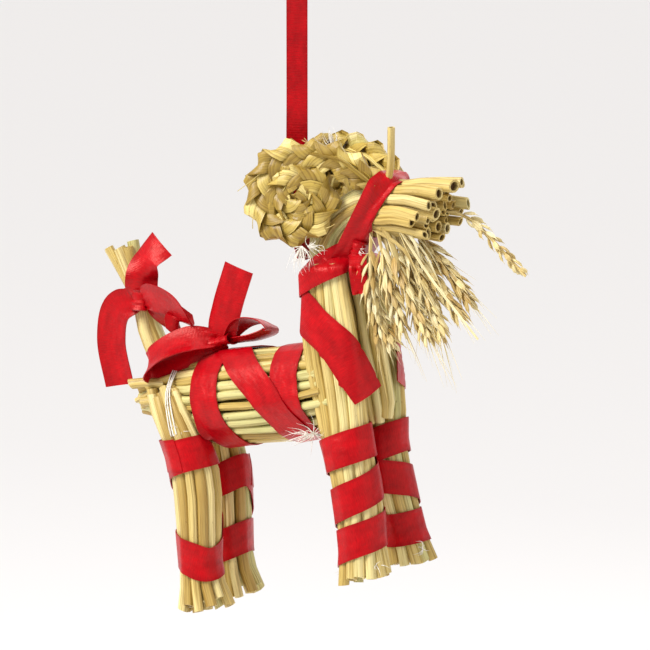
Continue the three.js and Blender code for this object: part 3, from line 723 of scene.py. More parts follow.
def stations_along(line, halves):
    """Stations of a bundle that bends in the goat's middle plane."""
    middles = np.array([(x, 0, z) for x, z in line], float)
    ways = unit(np.gradient(middles, axis=0))
    return [(m, wide, deep, SIDEWAYS, np.cross(way, SIDEWAYS))
            for m, way, (wide, deep) in zip(middles, ways, halves)]


head_straws = bundle("head", stations_along(HEAD_LINE, HEAD_HALVES), rings(15, 10, 4), 1.5, rag=0.5,
                     wander=0.2)

# %% [markdown]
# ## Muzzle
# In front of the tie the straws were cut off with one snip, so their open ends lie in one slanting plane.
# They spread a little, and the ones on the near side turn their ends outwards. A bisect
# would cut every end exactly at the plane. Here each straw is a little long or short of it.
# %% Muzzle straws
CUT_MIDDLE = np.array([42.2, -1.4, 97.0])
CUT_LONG = unit(np.array([0.5, 0.0, 0.87]))

muzzle_straws = []
for px, py in rings(14, 10, 4):
    root = TIE_MIDDLE - 3 * TIE_AXIS + TIE_LONG * 7.2 * py + SIDEWAYS * 6.0 * px
    waist = TIE_MIDDLE + 2 * TIE_AXIS + TIE_LONG * 7.8 * py + SIDEWAYS * 6.2 * px
    end = (CUT_MIDDLE + CUT_LONG * 7.6 * py + SIDEWAYS * 9.0 * px
           + np.array([1, 0, 0]) * (2.2 * py * py + 1.6 * px)
           + TIE_AXIS * random.gauss(-0.4, 1.1) + np.array([0, random.gauss(0, 0.6), random.gauss(0, 0.6)])
           + np.array([1.2, 0, 0.8]) * max(py, 0) ** 2)
    r = random.uniform(1.3, 2.2)
    line = smooth([root, waist, (waist + end) / 2 + np.array([0, 0, 0.5]), end], 24)
    muzzle_straws.append(lay(STALK, "muzzle_straw", line, STRAW_ACROSS[False], r, r * random.uniform(0.6, 1),
                             roll=random.uniform(0, 3.14), tone=random.uniform(0.2, 0.75),
                             cut=random.uniform(-0.4, 0.4)))
STRAY = [(27, -3.6, 105), (31, -4.4, 112), (34.4, -5, 123)]  # one straw that stands up behind the tie
muzzle_straws.append(lay(STALK, "stub_straw", smooth(STRAY, 24), STRAW_ACROSS[False], 1.3, 1.0, tone=0.5))
print("muzzle straws:", len(muzzle_straws))

# %% [markdown]
# ## Ears of grain
# The beard is the straws' own ears, bent down under the chin. An ear is a thin stalk with pointed husks set
# in rows along it, each one leaning outwards, and some husks end in a long fine awn. One husk, one awn and
# one stalk are modelled, and every ear is copies of them. A husk repeats hundreds of times, so it has only a
# few faces: a small sphere, drawn out to a point at its tip.
# %% Model a husk and a thin stem


def husk_template():
    deselect()
    bpy.ops.mesh.primitive_uv_sphere_add(segments=6, ring_count=6, radius=1, location=(0, 0, 0))
    husk = bpy.context.object
    husk.name = "husk"
    start_editing("VERT")
    pick(husk.data.vertices, lambda v: v.co.z > 0.6)
    bpy.ops.transform.resize(value=(0.45, 0.45, 1))
    done_editing()
    start_editing("VERT")
    pick(husk.data.vertices, lambda v: v.co.z > 0.95)
    bpy.ops.transform.translate(value=(0, 0, 0.5))
    done_editing()
    deselect()
    husk.select_set(True)
    bpy.context.view_layer.objects.active = husk
    husk.scale.z = 1 / 2.5
    husk.location.z = 0.4
    bpy.ops.object.transform_apply(location=True, scale=True)
    store(husk.data, "hollow_shade", "FLOAT", [0.0] * len(husk.data.vertices))
    return put_away(husk)


HUSK_FORM = husk_template()
STEM = straw_template("stem", 5, 8, wall=0.5, depth=0.002)
AWN = straw_template("awn", 3, 9, wall=0.4, depth=0.002)
print("a husk has", len(HUSK_FORM.data.polygons), "faces")

# %% Grow an ear of grain


AWN_HALF = 0.16  # half the thickness of an awn at its root


def pointed(count):
    """Half sizes of an awn or fibre, which runs out to a point."""
    return np.linspace(1, 0.12, count)


def ear(root, knee, tip, husks, awns, husk_length=9.5, fat=0.95, bare=0.2, awn_length=22):
    """A stalk from root through knee to tip, with husks and awns over all but its bare first part."""
    line = smooth([root, knee, tip], 60)
    ways = unit(np.gradient(line, axis=0))
    parts = [lay(STEM, "ear_stalk", line, (0, 1, 0), 0.55 * np.linspace(1.1, 0.6, 60), 0.5,
                 tone=random.uniform(0.4, 0.9))]
    for i in range(husks):
        share = bare + (1 - bare) * i / husks
        at = int(share * 57)
        along = ways[at]
        side = unit(np.cross(along, (0.2, 1, 0.1)))
        third = np.cross(along, side)
        turn = 2.4 * i + random.uniform(-0.3, 0.3)
        out = side * math.cos(turn) + third * math.sin(turn)
        lean = random.uniform(0.12, 0.6)
        way = unit(along + lean * out)
        size = husk_length * random.uniform(0.8, 1.15) * (1 - 0.35 * share)
        start = line[at] + out * 0.5
        husk_line = smooth([start, start + way * size * 0.5 + out * 0.35, start + way * size - out * 0.2], 10)
        parts.append(lay(HUSK_FORM, "husk", husk_line, np.cross(along, out),
                         fat * random.uniform(0.6, 1.15), 0.42, tone=random.uniform(0.1, 0.95)))
    for i in range(awns):
        at = int((bare + (1 - bare) * random.uniform(0.1, 0.95)) * 57)
        out = unit(np.array([random.gauss(0, 1), random.gauss(0, 1), random.gauss(0, 0.4)]))
        reach = awn_length * random.uniform(0.45, 1)
        awn_line = smooth([line[at], line[at] + ways[at] * reach * 0.5 + out * 1.5,
                           line[at] + ways[at] * reach + out * random.uniform(1, 5)], 30)
        thick = AWN_HALF * pointed(30)
        parts.append(lay(AWN, "awn", awn_line, (0, 1, 0), thick, thick, tone=random.uniform(0.4, 1)))
    return parts


EARS = [  # root, knee and tip of each ear
    ((21, -5, 96), (19, -7, 84), (17.6, -6.5, 65)),
    ((19, -2, 95), (16.6, -5, 80), (20.5, -5.5, 62)),
    ((23, -5, 96), (25, -7.5, 82), (26, -7, 66)),
    ((25, -4, 95), (29, -6.5, 80), (33.5, -6, 62)),
    ((26, -1, 95), (32, -3, 80), (36.5, -4, 62.5)),
    ((27, 1, 95), (33.5, 0, 82), (41.5, 0, 67)),
    ((27, 3, 96), (36, 2.5, 85), (43.5, 3, 70)),
    ((25, 4, 95), (29, 5, 80), (30, 5, 65)),
    ((22, 4, 95), (23, 6, 82), (24, 6, 67)),
]
beard = []
for root, knee, tip in EARS:
    beard += ear(root, knee, tip, husks=42, awns=10)
beard += ear((30, 3, 98), (45, 4.4, 95.5), (61.6, 4.8, 75), husks=22, husk_length=6.4, awns=3, bare=0.42,
             fat=1.0, awn_length=6)
for _ in range(26):  # loose leaves and bare stalks among the ears
    root = np.array([random.uniform(19, 30), random.uniform(-6, 5), 96])
    tip = root + np.array([random.uniform(-3, 16), random.uniform(-2, 2), random.uniform(-32, -14)])
    bulge = np.array([random.uniform(0, 4), random.uniform(-2.5, 2.5), random.uniform(-1, 4)])
    belly = (root + tip) / 2 + bulge
    half = random.uniform(0.35, 1.1)
    beard.append(lay(STEM, "leaf", smooth([root, belly, tip], 40), (random.random(), 1, 0),
                     half * pointed(40), 0.14, roll=random.uniform(-1, 1), tone=random.uniform(0.4, 1)))
LONG_STALK = [(30, -6.3, 97), (38, -6.6, 80), (47.6, -4, 60.4)]
beard.append(lay(STEM, "long_stalk", smooth(LONG_STALK, 40), (0, 1, 0), 0.5 * pointed(40), 0.4, tone=0.8))
print("beard parts:", len(beard))

# %% Join the head
head = join("head_and_muzzle_straws", head_straws + muzzle_straws, STRAW, "straw", "head_and_beard_bundle")
beard = join("grain_beard", beard, HUSK, "straw")

# %% [markdown]
# ## Horns
# Each horn is a plait of three strands, and each strand is two flat straws side by side. In a plait a strand
# swings from edge to edge, passing under one neighbour and over the next, so it moves sideways once while it
# dives twice. At an edge it stands upright as it turns back. The plait leaves the head's tie, runs up and
# back, and rolls into a spiral.
# %% The horn's middle line
HORN_TURN, HORN_CORE, HORN_EYE = 11.2, 4.7, 3.4  # outer and inner radius, and how far the eye closes in
HORN_SPLAY = math.radians(17)
HORN_MIDDLE = (2.9, 11, 109.7)


def horn_line(s, count=260):
    centre = np.array(HORN_MIDDLE) * (1, s, 1)
    ahead = np.array([math.cos(HORN_SPLAY), -s * math.sin(HORN_SPLAY), 0])
    points = [(27.2, s * 5, 105.6), (20.6, s * 7, 113.8), (13.4, s * 8.4, 118.6)]
    for a in range(70, 761, 23):
        share = min(max((a - 200) / 240, 0), 1)
        late = max(0, a - 540) / 220
        r = HORN_TURN + share * (HORN_CORE - HORN_TURN) - HORN_EYE * late
        points.append(centre + ahead * r * math.cos(math.radians(a))
                      + np.array([0, s * 1.2 * late, r * math.sin(math.radians(a))]))
    return smooth(points, count)


print("a horn's plait is", round(length_of(horn_line(1))), "mm long")

# %% Plait the strands
FLAT_STRAW = straw_template("flat_straw", 8, 110, wall=0.4, depth=0.004)
STRIP_THICK = 0.34  # half the thickness of a flat straw
CROSSING = 19.0  # length of plait in which a strand comes back to the same edge
SWING, DIVE, STRIP = 3.0, 1.7, 1.8  # half widths of the plait, of its dives and of a flat straw


def plait(name, s):
    line = horn_line(s)
    count = len(line)
    way = unit(np.gradient(line, axis=0))
    axial = np.array([math.sin(HORN_SPLAY), s * math.cos(HORN_SPLAY), 0])
    deep = unit(axial - (way @ axial)[:, None] * way)
    outward = np.cross(deep, way)
    share = np.linspace(0, 1, count)
    taper = np.minimum(1, np.minimum(0.75 + 4 * share, 0.6 + 3.6 * (1 - share)))
    strips = []
    for strand in range(3):
        phase = 2 * math.pi * (share * length_of(line) / CROSSING + strand / 3)
        middle = (line + outward * (SWING * taper * np.sin(phase))[:, None]
                  + deep * (DIVE * taper * np.sin(2 * phase))[:, None])
        turn = math.pi / 2 * np.clip(1.5 * np.cos(phase), -1, 1)
        facing = np.cos(turn)[:, None] * outward + np.sin(turn)[:, None] * deep
        across = np.cross(facing, unit(np.gradient(middle, axis=0)))
        across = unit(across)
        for k in (-1, 1):
            wave = random.uniform(0.8, 1.1)
            route = (middle + across * (k * STRIP * 0.86 * taper)[:, None]
                     + facing * random.uniform(-0.15, 0.25))
            strips.append(lay(FLAT_STRAW, f"{name}_strip", route, across, STRIP * wave * taper,
                              STRIP_THICK * taper, tone=random.uniform(0.05, 0.85),
                              roll=random.uniform(-0.12, 0.12)))
    return strips


def sheaf(name, s):
    """Broad flat straws that leave the tie side by side and draw together into the plait."""
    line = horn_line(s)
    strips = []
    for i in range(9):
        place = (i / 8 - 0.5) * 2
        root = (TIE_MIDDLE + TIE_LONG * random.uniform(4.4, 6.6)
                + SIDEWAYS * s * (4.4 + 3.4 * place) - 1.5 * TIE_AXIS)
        aside = np.array([0.5, 0, 0.6]) * (1.4 + random.uniform(-1, 1)) + SIDEWAYS * s * 3.2 * place
        way = [root, line[12] + aside, line[34] + aside * 0.8, line[random.randint(46, 62)] + aside * 0.35]
        strips.append(lay(FLAT_STRAW, f"{name}_strip", smooth(way, 60), (0.3, s, 0.3),
                          random.uniform(1.1, 1.7), 0.3, tone=random.uniform(0.1, 0.8),
                          roll=random.uniform(-0.5, 0.5)))
    for _ in range(16):  # torn fibres
        at = random.randint(20, 250)
        out = unit(np.array([random.gauss(0, 1), random.gauss(0, 1), random.gauss(0, 1)]))
        start, onward = line[at] + out * 3, line[at] - line[at - 6]
        end = start + out * random.uniform(2, 4) + 2 * onward
        strips.append(lay(AWN, f"{name}_fibre", smooth([start, start + out * 1.5 + onward, end], 20),
                          (0, 1, 0), 0.12, 0.12, tone=random.uniform(0.4, 1)))
    return strips


horns = {}
for side, s in (("right", -1), ("left", 1)):
    strips = plait(f"horn_{side}", s) + sheaf(f"horn_{side}", s)
    horns[side] = join(f"horn_{side}_plaited", strips, PLAIT, "plaited_straw", f"horn_{side}_plait")

# %% [markdown]
# ## The tight outline round some straw
# A wound ribbon doesn't follow every straw. It is drawn tight, so it runs straight from one high point to the
# next. Cutting the straws across at a height and taking the tight outline of the cut gives just that line.
# `Skin` does it for every millimetre of a bundle, and then answers how far out the ribbon lies at any angle.
# %% Measure tight outlines
DIRECTIONS = 120


def lines_of(piece, keep=None):
    """The edges of a piece in the level frame, as pairs of points."""
    points = moved(LEVEL, np.array([v.co for v in piece.data.vertices]))
    pairs = np.array([tuple(e.vertices) for e in piece.data.edges])
    lines = points[pairs]
    return lines if keep is None else lines[keep(lines.mean(1))]


class Skin:
    """The tight outline round some edges, at heights along an axis. Angles start at `zero`."""

    def __init__(self, lines, along, zero, low, high, step=1.0):
        self.along, self.zero = unit(np.array(along, float)), unit(np.array(zero, float))
        self.side = np.cross(self.along, self.zero)
        self.low, self.step = low, step
        angles = np.arange(DIRECTIONS) * 2 * math.pi / DIRECTIONS
        rays = np.stack([np.cos(angles), np.sin(angles)])
        facing = np.cos(angles[:, None] - angles[None, :])
        tops = lines @ self.along
        middles, radii = [], []
        for height in np.arange(low, high + step / 2, step):
            a, b = tops[:, 0] - height, tops[:, 1] - height
            hit = (a < 0) != (b < 0)
            share = (a[hit] / (a[hit] - b[hit]))[:, None]
            points = lines[hit, 0] + share * (lines[hit, 1] - lines[hit, 0])
            flat = np.stack([points @ self.zero, points @ self.side], 1)
            middle = (flat.max(0) + flat.min(0)) / 2
            reach = ((flat - middle) @ rays).max(0)
            radii.append(np.where(facing > 0.15, reach[None, :] / np.maximum(facing, 0.15), np.inf).min(1))
            middles.append(middle)
        self.middles, self.radii = np.array(middles), np.array(radii)

    def place(self, angle, height, lift):
        """Points over the skin, for rows of angles, heights and lifts."""
        level = np.clip((height - self.low) / self.step, 0, len(self.radii) - 1.001)
        row, up = level.astype(int), level % 1
        turn = (angle / (2 * math.pi) * DIRECTIONS) % DIRECTIONS
        column, over = turn.astype(int) % DIRECTIONS, turn % 1
        after = (column + 1) % DIRECTIONS
        below = self.radii[row, column] * (1 - over) + self.radii[row, after] * over
        above = self.radii[row + 1, column] * (1 - over) + self.radii[row + 1, after] * over
        radius = below * (1 - up) + above * up
        middle = self.middles[row] * (1 - up)[:, None] + self.middles[row + 1] * up[:, None]
        out = radius + lift
        return (self.zero * (middle[:, :1] + (out * np.cos(angle))[:, None])
                + self.side * (middle[:, 1:] + (out * np.sin(angle))[:, None]) + self.along * height[:, None])


leg_skins = {side: Skin(lines_of(forelegs[side]), UP, FORWARD, -1, 46) for side in forelegs}
print("foreleg outline at height 20:", round(float(leg_skins["right"].radii[21].mean()), 1), "mm")

# %% [markdown]
# ## The ribbon strip
# A strip of ribbon is a grid, finely divided along its length. Its width keeps eight faces, so that it can
# curl or pleat, and each point remembers how near it is to an edge, for the selvage.
# %% Model a strip and wind it
RIBBON = 9.6


def strip_template(divisions):
    deselect()
    bpy.ops.mesh.primitive_grid_add(x_subdivisions=8, y_subdivisions=divisions, size=2, location=(0, 0, 0))
    strip = bpy.context.object
    strip.name = "strip"
    bpy.ops.object.mode_set(mode="EDIT")
    bpy.ops.mesh.select_all(action="SELECT")
    bpy.ops.transform.rotate(value=math.pi / 2, orient_axis="X", center_override=(0, 0, 0))
    done_editing()
    for v in strip.data.vertices:
        v.co = (v.co.x, 0, (abs(v.co.z + 1)) / 2)
    store(strip.data, "selvage", "FLOAT", [abs(v.co.x) for v in strip.data.vertices])
    store(strip.data, "hollow_shade", "FLOAT", [0.0] * len(strip.data.vertices))
    return put_away(strip)


def thicken(piece, thick=0.28):
    """Gives a strip its thickness."""
    deselect()
    piece.select_set(True)
    bpy.context.view_layer.objects.active = piece
    bpy.ops.object.modifier_add(type="SOLIDIFY")
    piece.modifiers[-1].thickness = thick * MM
    piece.modifiers[-1].offset = 0
    bpy.ops.object.modifier_apply(modifier=piece.modifiers[-1].name)
    return piece


STRIP_80, STRIP_200 = strip_template(80), strip_template(200)


def wind(name, skin, route, width=RIBBON, lift=0.35, mirror=1, radius=7.5, tone=0.5):
    """A ribbon wound on a skin, along a route of (degrees, height). `lift` may change along it."""
    route = np.array([(math.radians(a) * radius * mirror, h) for a, h in route])
    line = smooth(route, 240)
    ways = unit(np.gradient(line, axis=0))
    local = np.array([v.co for v in STRIP_200.data.vertices])
    x, t = local[:, 0], np.clip(local[:, 2], 0, 1)
    places = np.linspace(0, 1, len(line))
    arc, height = (np.interp(t, places, line[:, i]) for i in (0, 1))
    way_arc, way_height = (np.interp(t, places, ways[:, i]) for i in (0, 1))
    shift = x * width / 2
    arc, height = arc - way_height * shift * mirror, height + way_arc * shift * mirror
    raised = lift(t) if callable(lift) else np.full(len(t), float(lift))
    points = skin.place(arc / radius, height, raised)
    piece = add_copy(STRIP_200, name, points)
    length = length_of(line)
    weave = np.stack([shift + PATTERN_SHIFT[0] * tone, t * length, 0 * t], 1)
    store(piece.data, "weave", "FLOAT_VECTOR", weave)
    return thicken(piece)


print("a strip has", len(STRIP_200.data.polygons), "faces")

# %% [markdown]
# ## Ribbon on the legs
# Each leg is bound with one length of ribbon that climbs in turns. The turns of the rear
# right leg stand apart, with the climb between them on its inner side.
# %% Leg ribbons
FORE_ROUTES = {  # degrees round the leg from its front, and height
    "right": [(-170, 8.5), (-90, 10.8), (0, 12.4), (90, 14.6), (180, 19.4), (270, 22.6), (360, 25.4),
              (450, 30), (540, 34.6), (630, 36.8), (720, 38), (800, 38.6), (880, 38.4)],
    "left": [(-170, 9), (-90, 9.6), (0, 9.8), (90, 10.2), (180, 13.5), (270, 18.5), (360, 23), (450, 26.8),
             (540, 30.5), (630, 34.4), (720, 36.4), (810, 35.2), (880, 34.8)]}
REAR_ROUTES = {
    "right": [(-200, 17), (-150, 16), (-90, 13), (-30, 9.8), (30, 12), (90, 22), (150, 34), (200, 40),
              (270, 42.4), (360, 42.8), (450, 42.8), (560, 43.2), (640, 43)],
    "left": [(-180, 10.5), (-90, 12.5), (0, 14), (90, 12.5), (180, 11.2), (240, 16), (300, 26), (360, 33.2),
             (450, 31.6), (540, 30), (630, 31), (700, 33)]}


def growing(base, step):
    """A lift that grows along the ribbon, so that a later turn lies on the one before."""
    return lambda t: base + step * t


for side, s in (("right", 1), ("left", -1)):
    band = wind(f"foreleg_{side}_band", leg_skins[side], FORE_ROUTES[side], lift=growing(0.3, 0.6),
                mirror=s)
    join(f"foreleg_{side}_satin", [band], SATIN, "satin_ribbon", f"foreleg_{side}_ribbon")
    rear_skin = Skin(lines_of(rearlegs[side]), UP, FORWARD, -1, 52)
    band = wind(f"rear_leg_{side}_band", rear_skin, REAR_ROUTES[side], lift=growing(0.3, 0.5), mirror=s)
    join(f"rear_leg_{side}_satin", [band], SATIN, "satin_ribbon", f"rear_leg_{side}_ribbon")

# %% [markdown]
# ## Ribbon on the trunk, and its bow
# Two upright bands and a slanting one between them go round the trunk. On the back they are tied in a bow,
# with one loop to the rear, a small one to the front and one cut end that stands up.
# %% Body ribbon
trunk_lines = lines_of(trunk, lambda m: m[:, 0] < -5)
flank_lines = np.concatenate([trunk_lines]
                             + [lines_of(rearlegs[s], lambda m: m[:, 2] > 46) for s in rearlegs])
flank = Skin(flank_lines, FORWARD, SIDEWAYS, -62, -6)
TRUNK_RADIUS = 14

HIND_ROUTE = [(88, -40.5), (180, -41.8), (235, -40), (270, -39.6), (305, -40), (360, -41.8), (452, -40.5)]
FRONT_ROUTE = [(90, -13.4), (270, -13.4), (455, -13.4)]
SLANT_ROUTE = [(90, -37), (135, -28.5), (180, -19.5), (225, -15.5), (270, -14.6), (315, -15.5),
               (360, -19.5), (405, -28.5), (450, -37)]
body_parts = [
    wind("hind_band", flank, HIND_ROUTE, radius=TRUNK_RADIUS),
    wind("front_band", flank, FRONT_ROUTE, radius=TRUNK_RADIUS, lift=0.3),
    wind("slant_band", flank, SLANT_ROUTE, radius=TRUNK_RADIUS, lift=0.75),
]


def pleats(depth, knots=(0, 1), folds=3, curl=0.0, reach=0.16):
    """A bend for a free ribbon: it gathers into folds at its knotted ends, and may curl across its width."""
    def bend(t, x):
        gather = sum(np.clip(1 - np.abs(t - k) / reach, 0, 1) ** 1.5 for k in knots) if len(knots) else 0 * t
        return depth * gather * np.sin(folds * math.pi * x) + curl * (x * x - 0.5)
    return bend


def gathered(ends, count=80, reach=0.18):
    """Half widths of a free ribbon whose ends are drawn together into a knot."""
    t = np.linspace(0, 1, count)

    def opened(end, way):
        return end + (1 - end) * np.clip(way / reach, 0, 1) ** 0.6

    return np.minimum(opened(ends[0], t), opened(ends[1], 1 - t))


def smooth_directions(directions, count):
    """Directions that turn evenly from each given one to the next."""
    rows = unit(np.array(directions, float))
    places = np.linspace(0, 1, len(rows))
    fine = np.linspace(0, 1, count)
    eased = np.stack([np.interp(fine, places, c) for c in rows.T], 1)
    for _ in range(6):
        eased[1:-1] = (eased[:-2] + 2 * eased[1:-1] + eased[2:]) / 4
    return unit(eased)


def free(name, middles, acrosses, width=RIBBON, ends=(1, 1), bend=None, tone=0.5):
    """A free length of ribbon along some middles, with the direction across it at each."""
    line, across = smooth(middles, 80), smooth_directions(acrosses, 80)
    strip = lay(STRIP_80, name, line, across, width / 2 * gathered(ends), 0, bend=bend, tone=tone)
    return thicken(strip)


print("trunk bands:", len(body_parts))

# %% [markdown]
# A bow's loops are free lengths of ribbon. Near the knot they are gathered into folds, and further out they
# spring open. A loop's middle line and the way that the ribbon faces are set at a few points. The knot is a
# short strip of the same ribbon, gathered and closed round the crossing.
# %% The bow on the back


def knot(name, middle, along, up, size, width):
    """A short strip closed into a ring round a crossing: `along` is the ring's axis."""
    along, up = unit(np.array(along, float)), np.array(up, float)
    up = unit(up - (up @ along) * along)
    side = np.cross(along, up)
    angles = np.linspace(-0.3, 2 * math.pi + 0.3, 16)
    ring = [np.array(middle) + side * size[0] * math.sin(a) + up * size[1] * math.cos(a) for a in angles]

    def folds(t, x):
        return -(0.22 * np.sin(3.2 * math.pi * x + 1.0) + 0.5 * (1 - x * x))

    return thicken(lay(STRIP_80, name, smooth(ring, 80), along, width / 2, 0, bend=folds), 0.3)


body_parts += [
    free("rear_loop", [(-40, -2, 73.4), (-47, -8, 75), (-55, -11.6, 73.4), (-60.6, -11.8, 70.4),
                       (-61.6, -9.4, 69), (-57.4, -6.4, 70), (-49, -4.2, 71.6), (-39, -0.5, 72)],
         [(0.1, -0.5, -1), (0.2, -0.9, -0.9), (0.2, -0.9, -0.8), (0.1, -0.8, -1), (0, -0.7, -1),
          (-0.1, -0.4, -1), (0, -0.3, -1)],
         ends=(0.35, 0.35), bend=pleats(0.7, curl=0.9), tone=0.2),
    free("front_loop", [(-39, -0.5, 72.6), (-33, 0.6, 76.8), (-27, 2.4, 75.8), (-25, 3, 73),
                        (-30, 1.4, 71.6), (-38, 0, 72)],
         [(0.2, -0.9, 0.6), (0.2, -1, 0.5), (0.1, -1, 0.3), (0.1, -1, 0.3), (0.2, -1, 0.3), (0.2, -1, 0.3)],
         width=8.6, ends=(0.4, 0.4), bend=pleats(0.6, curl=0.6), tone=0.7),
    free("standing_end", [(-38.6, -1, 71.6), (-38.6, -2, 75.6), (-35.6, -1.8, 82), (-29.2, -1, 92.6)],
         [(1, 0.1, -0.1), (1, 0.1, -0.15), (1, 0.1, -0.2), (1, 0.1, -0.1)],
         ends=(0.6, 1), bend=pleats(0.5, knots=(0,), folds=2, curl=0.5), tone=0.4),
    knot("bow_knot", (-39.4, -1.2, 72.6), (1, 0.1, 0.1), (0, 0, 1), (4.0, 1.7), 6.5),
]
join("body_satin", body_parts, SATIN, "satin_ribbon", "body_ribbon")

# %% [markdown]
# ## Ribbon on the neck and head
# One ribbon crosses from the nape down both sides of the neck, a second one goes round the throat, and a
# third ties the head where horns and muzzle meet. All three are wound as on the legs. The bands share a skin
# on the upright neck, and the tie has one on an axis that runs forward and down through the head.
# %% Neck ribbon
chest_lines = lines_of(trunk, lambda m: m[:, 0] > -5)
neck_lines = np.concatenate([chest_lines, lines_of(head, lambda m: m[:, 0] < 20)]
                            + [lines_of(forelegs[s], lambda m: m[:, 2] > 40) for s in forelegs])
neck = Skin(neck_lines, UP, FORWARD, 43, 98)
SLANT_DOWN = [(-178, 83), (-133, 80), (-105, 73.5), (-77, 66.4), (-60, 58), (-46, 50.5)]
THROAT_ROUTE = [(-5, 92.6), (90, 88.2), (180, 83.6), (270, 88.2), (365, 92.6)]
neck_parts = [wind("slant_right", neck, SLANT_DOWN, radius=12, lift=0.4),
              wind("slant_left", neck, [(-a, h) for a, h in SLANT_DOWN], radius=12, lift=0.4),
              wind("throat_band", neck, THROAT_ROUTE, radius=11, width=8.6, lift=growing(0.8, 0.3))]
print("neck bands:", len(neck_parts))

# %% Head tie and throat knot


def in_the_tie(m):
    """Straws that the tie holds, without the ones that stand up past its top."""
    return (m - TIE_MIDDLE) @ TIE_LONG < 9.8


tie_lines = np.concatenate([lines_of(head, in_the_tie)]
                           + [lines_of(horns[s], lambda m: in_the_tie(m) & (m[:, 0] > 14)) for s in horns])
tie_height = float(TIE_MIDDLE @ TIE_AXIS)
head_skin = Skin(tie_lines, TIE_AXIS, SIDEWAYS, tie_height - 5, tie_height + 5, step=0.5)
tie_route = [(angle, tie_height) for angle in (-10, 180, 355)]
neck_parts += [
    wind("head_tie", head_skin, tie_route, radius=9, width=6, lift=0.35),
    knot("throat_knot", (15.8, -6, 91), (0.4, 0.3, 1), (1, -0.6, 0), (2.2, 1.8), 5),
    free("throat_end", [(16, -6, 91), (17, -9, 88), (16.8, -9.8, 84.4), (16.2, -9.6, 79)],
         [(0.6, 0.4, 0), (0.6, 0.5, 0), (0.6, 0.4, 0), (0.6, 0.4, 0)],
         width=5.0, ends=(0.5, 0.9), bend=pleats(0.7, knots=(0, 0.5, 1), folds=2)),
]
join("neck_satin", neck_parts, SATIN, "satin_ribbon", "neck_ribbon")

# %% [markdown]
# ## Ribbon on the tail
# The tail's tie has a knot on its near side, one end that hangs behind, one that twists upwards and a loop.
# They are made as the bow is, round a wound band.
# %% Tail ribbon
tail_skin = Skin(lines_of(tail), UP, FORWARD, 84, 95, step=0.5)
tail_parts = [
    wind("tail_tie", tail_skin, [(-60, 90.4), (60, 88.4), (180, 89.4), (300, 90), (420, 88.6)],
         radius=4, width=6.5, lift=growing(0.3, 0.4)),
    knot("tail_knot", (-63.6, -5.2, 88.8), (0.2, 0.2, 1), (0, -1, 0), (2.6, 1.9), 6),
    free("hanging_end", [(-64, -4.8, 88.8), (-71.5, -5.8, 87.8), (-76.4, -5.4, 79), (-77.1, -5, 65.2)],
         [(0.3, 0, -1), (0.7, 0.1, -0.6), (1, 0.1, -0.1), (1, 0.1, -0.1)], ends=(0.5, 1),
         bend=pleats(0.6, knots=(0,), folds=2, curl=0.5), tone=0.3),
    free("rising_end", [(-63, -5, 89), (-60.4, -5.6, 96), (-57.8, -5, 100.4), (-53, -3, 103.8)],
         [(1, 0.2, 0.2), (0.8, 0.5, 0.1), (0.9, -0.2, -0.3), (0.72, 0, -0.69)], ends=(0.5, 1),
         bend=pleats(0.6, knots=(0,), folds=2, curl=0.6), tone=0.8),
    free("tail_loop", [(-63, -5, 88.2), (-57.6, -7.6, 89), (-51.4, -8, 86), (-49.8, -6.4, 81.4),
                       (-53.4, -3.6, 80.6), (-62, -3.6, 86.4)],
         [(0.2, -0.3, 1), (0.3, -0.3, 0.9), (0.8, -0.4, 0.5), (0.8, -0.5, 0.1), (0.3, -0.5, 0.8),
          (0.2, -0.4, 1)],
         width=9, ends=(0.4, 0.4), bend=pleats(0.5), tone=0.6),
]
join("tail_satin", tail_parts, SATIN, "satin_ribbon", "tail_ribbon")

# %% [markdown]
# ## Cotton thread
# White thread binds the rear legs over the rump and the ends of the horns, where it is cut and frayed. Each
# fibre of the frayed ends is one more copy of a thin tube, which runs out to a point.
# %% Threads
THREAD = straw_template("thread", 6, 30, wall=0.4, depth=0.004)
THREAD_HALF, FIBRE_HALF = 0.2, 0.14  # half the thickness of the thread, and of a frayed fibre


def thread(points, radius, pointed_end=False, count=80):
    thick = radius * (pointed(count) if pointed_end else np.ones(count))
    return lay(THREAD, "thread", smooth(points, count), (0, 0.3, 1), thick, thick, tone=random.random())


def tuft(root, way, spread, reach, fibres):
    """A frayed end: fine fibres that fan out from where the thread was cut."""
    root, way = np.array(root, float), unit(np.array(way, float))
    parts = []
    for _ in range(fibres):
        aim = unit(way + spread * np.array([random.gauss(0, 1) for _ in range(3)]))
        length = reach * random.uniform(0.5, 1.1)
        sway = np.array([random.gauss(0, 0.12 * length) for _ in range(3)])
        line = [root, root + aim * length * 0.5 + sway, root + aim * length]
        parts.append(thread(line, FIBRE_HALF, pointed_end=True))
    return parts


THREAD_PATH = [  # degrees round the flank, place along it, and how far each further turn is set back
    (-26, -51.6, 0.9), (30, -53.4, 0.5), (90, -54.2, 0.7), (150, -53.4, 0.4), (206, -51.2, 1.1)]
threads = []
for turn in range(3):
    angles = np.linspace(math.radians(-26), math.radians(206), 60)
    places = np.interp(np.degrees(angles), [p[0] for p in THREAD_PATH],
                       [p[1] - turn * p[2] for p in THREAD_PATH])
    lifts = np.full(60, 0.3 + 0.1 * (turn % 2))
    threads.append(thread(flank.place(angles, places, lifts), THREAD_HALF))
threads += tuft((-51.2, -15.2, 50.4), (0.1, -0.5, -1), 0.35, 6, 10)
join("rump_cotton", threads, COTTON, "cotton_thread", "rump_thread")

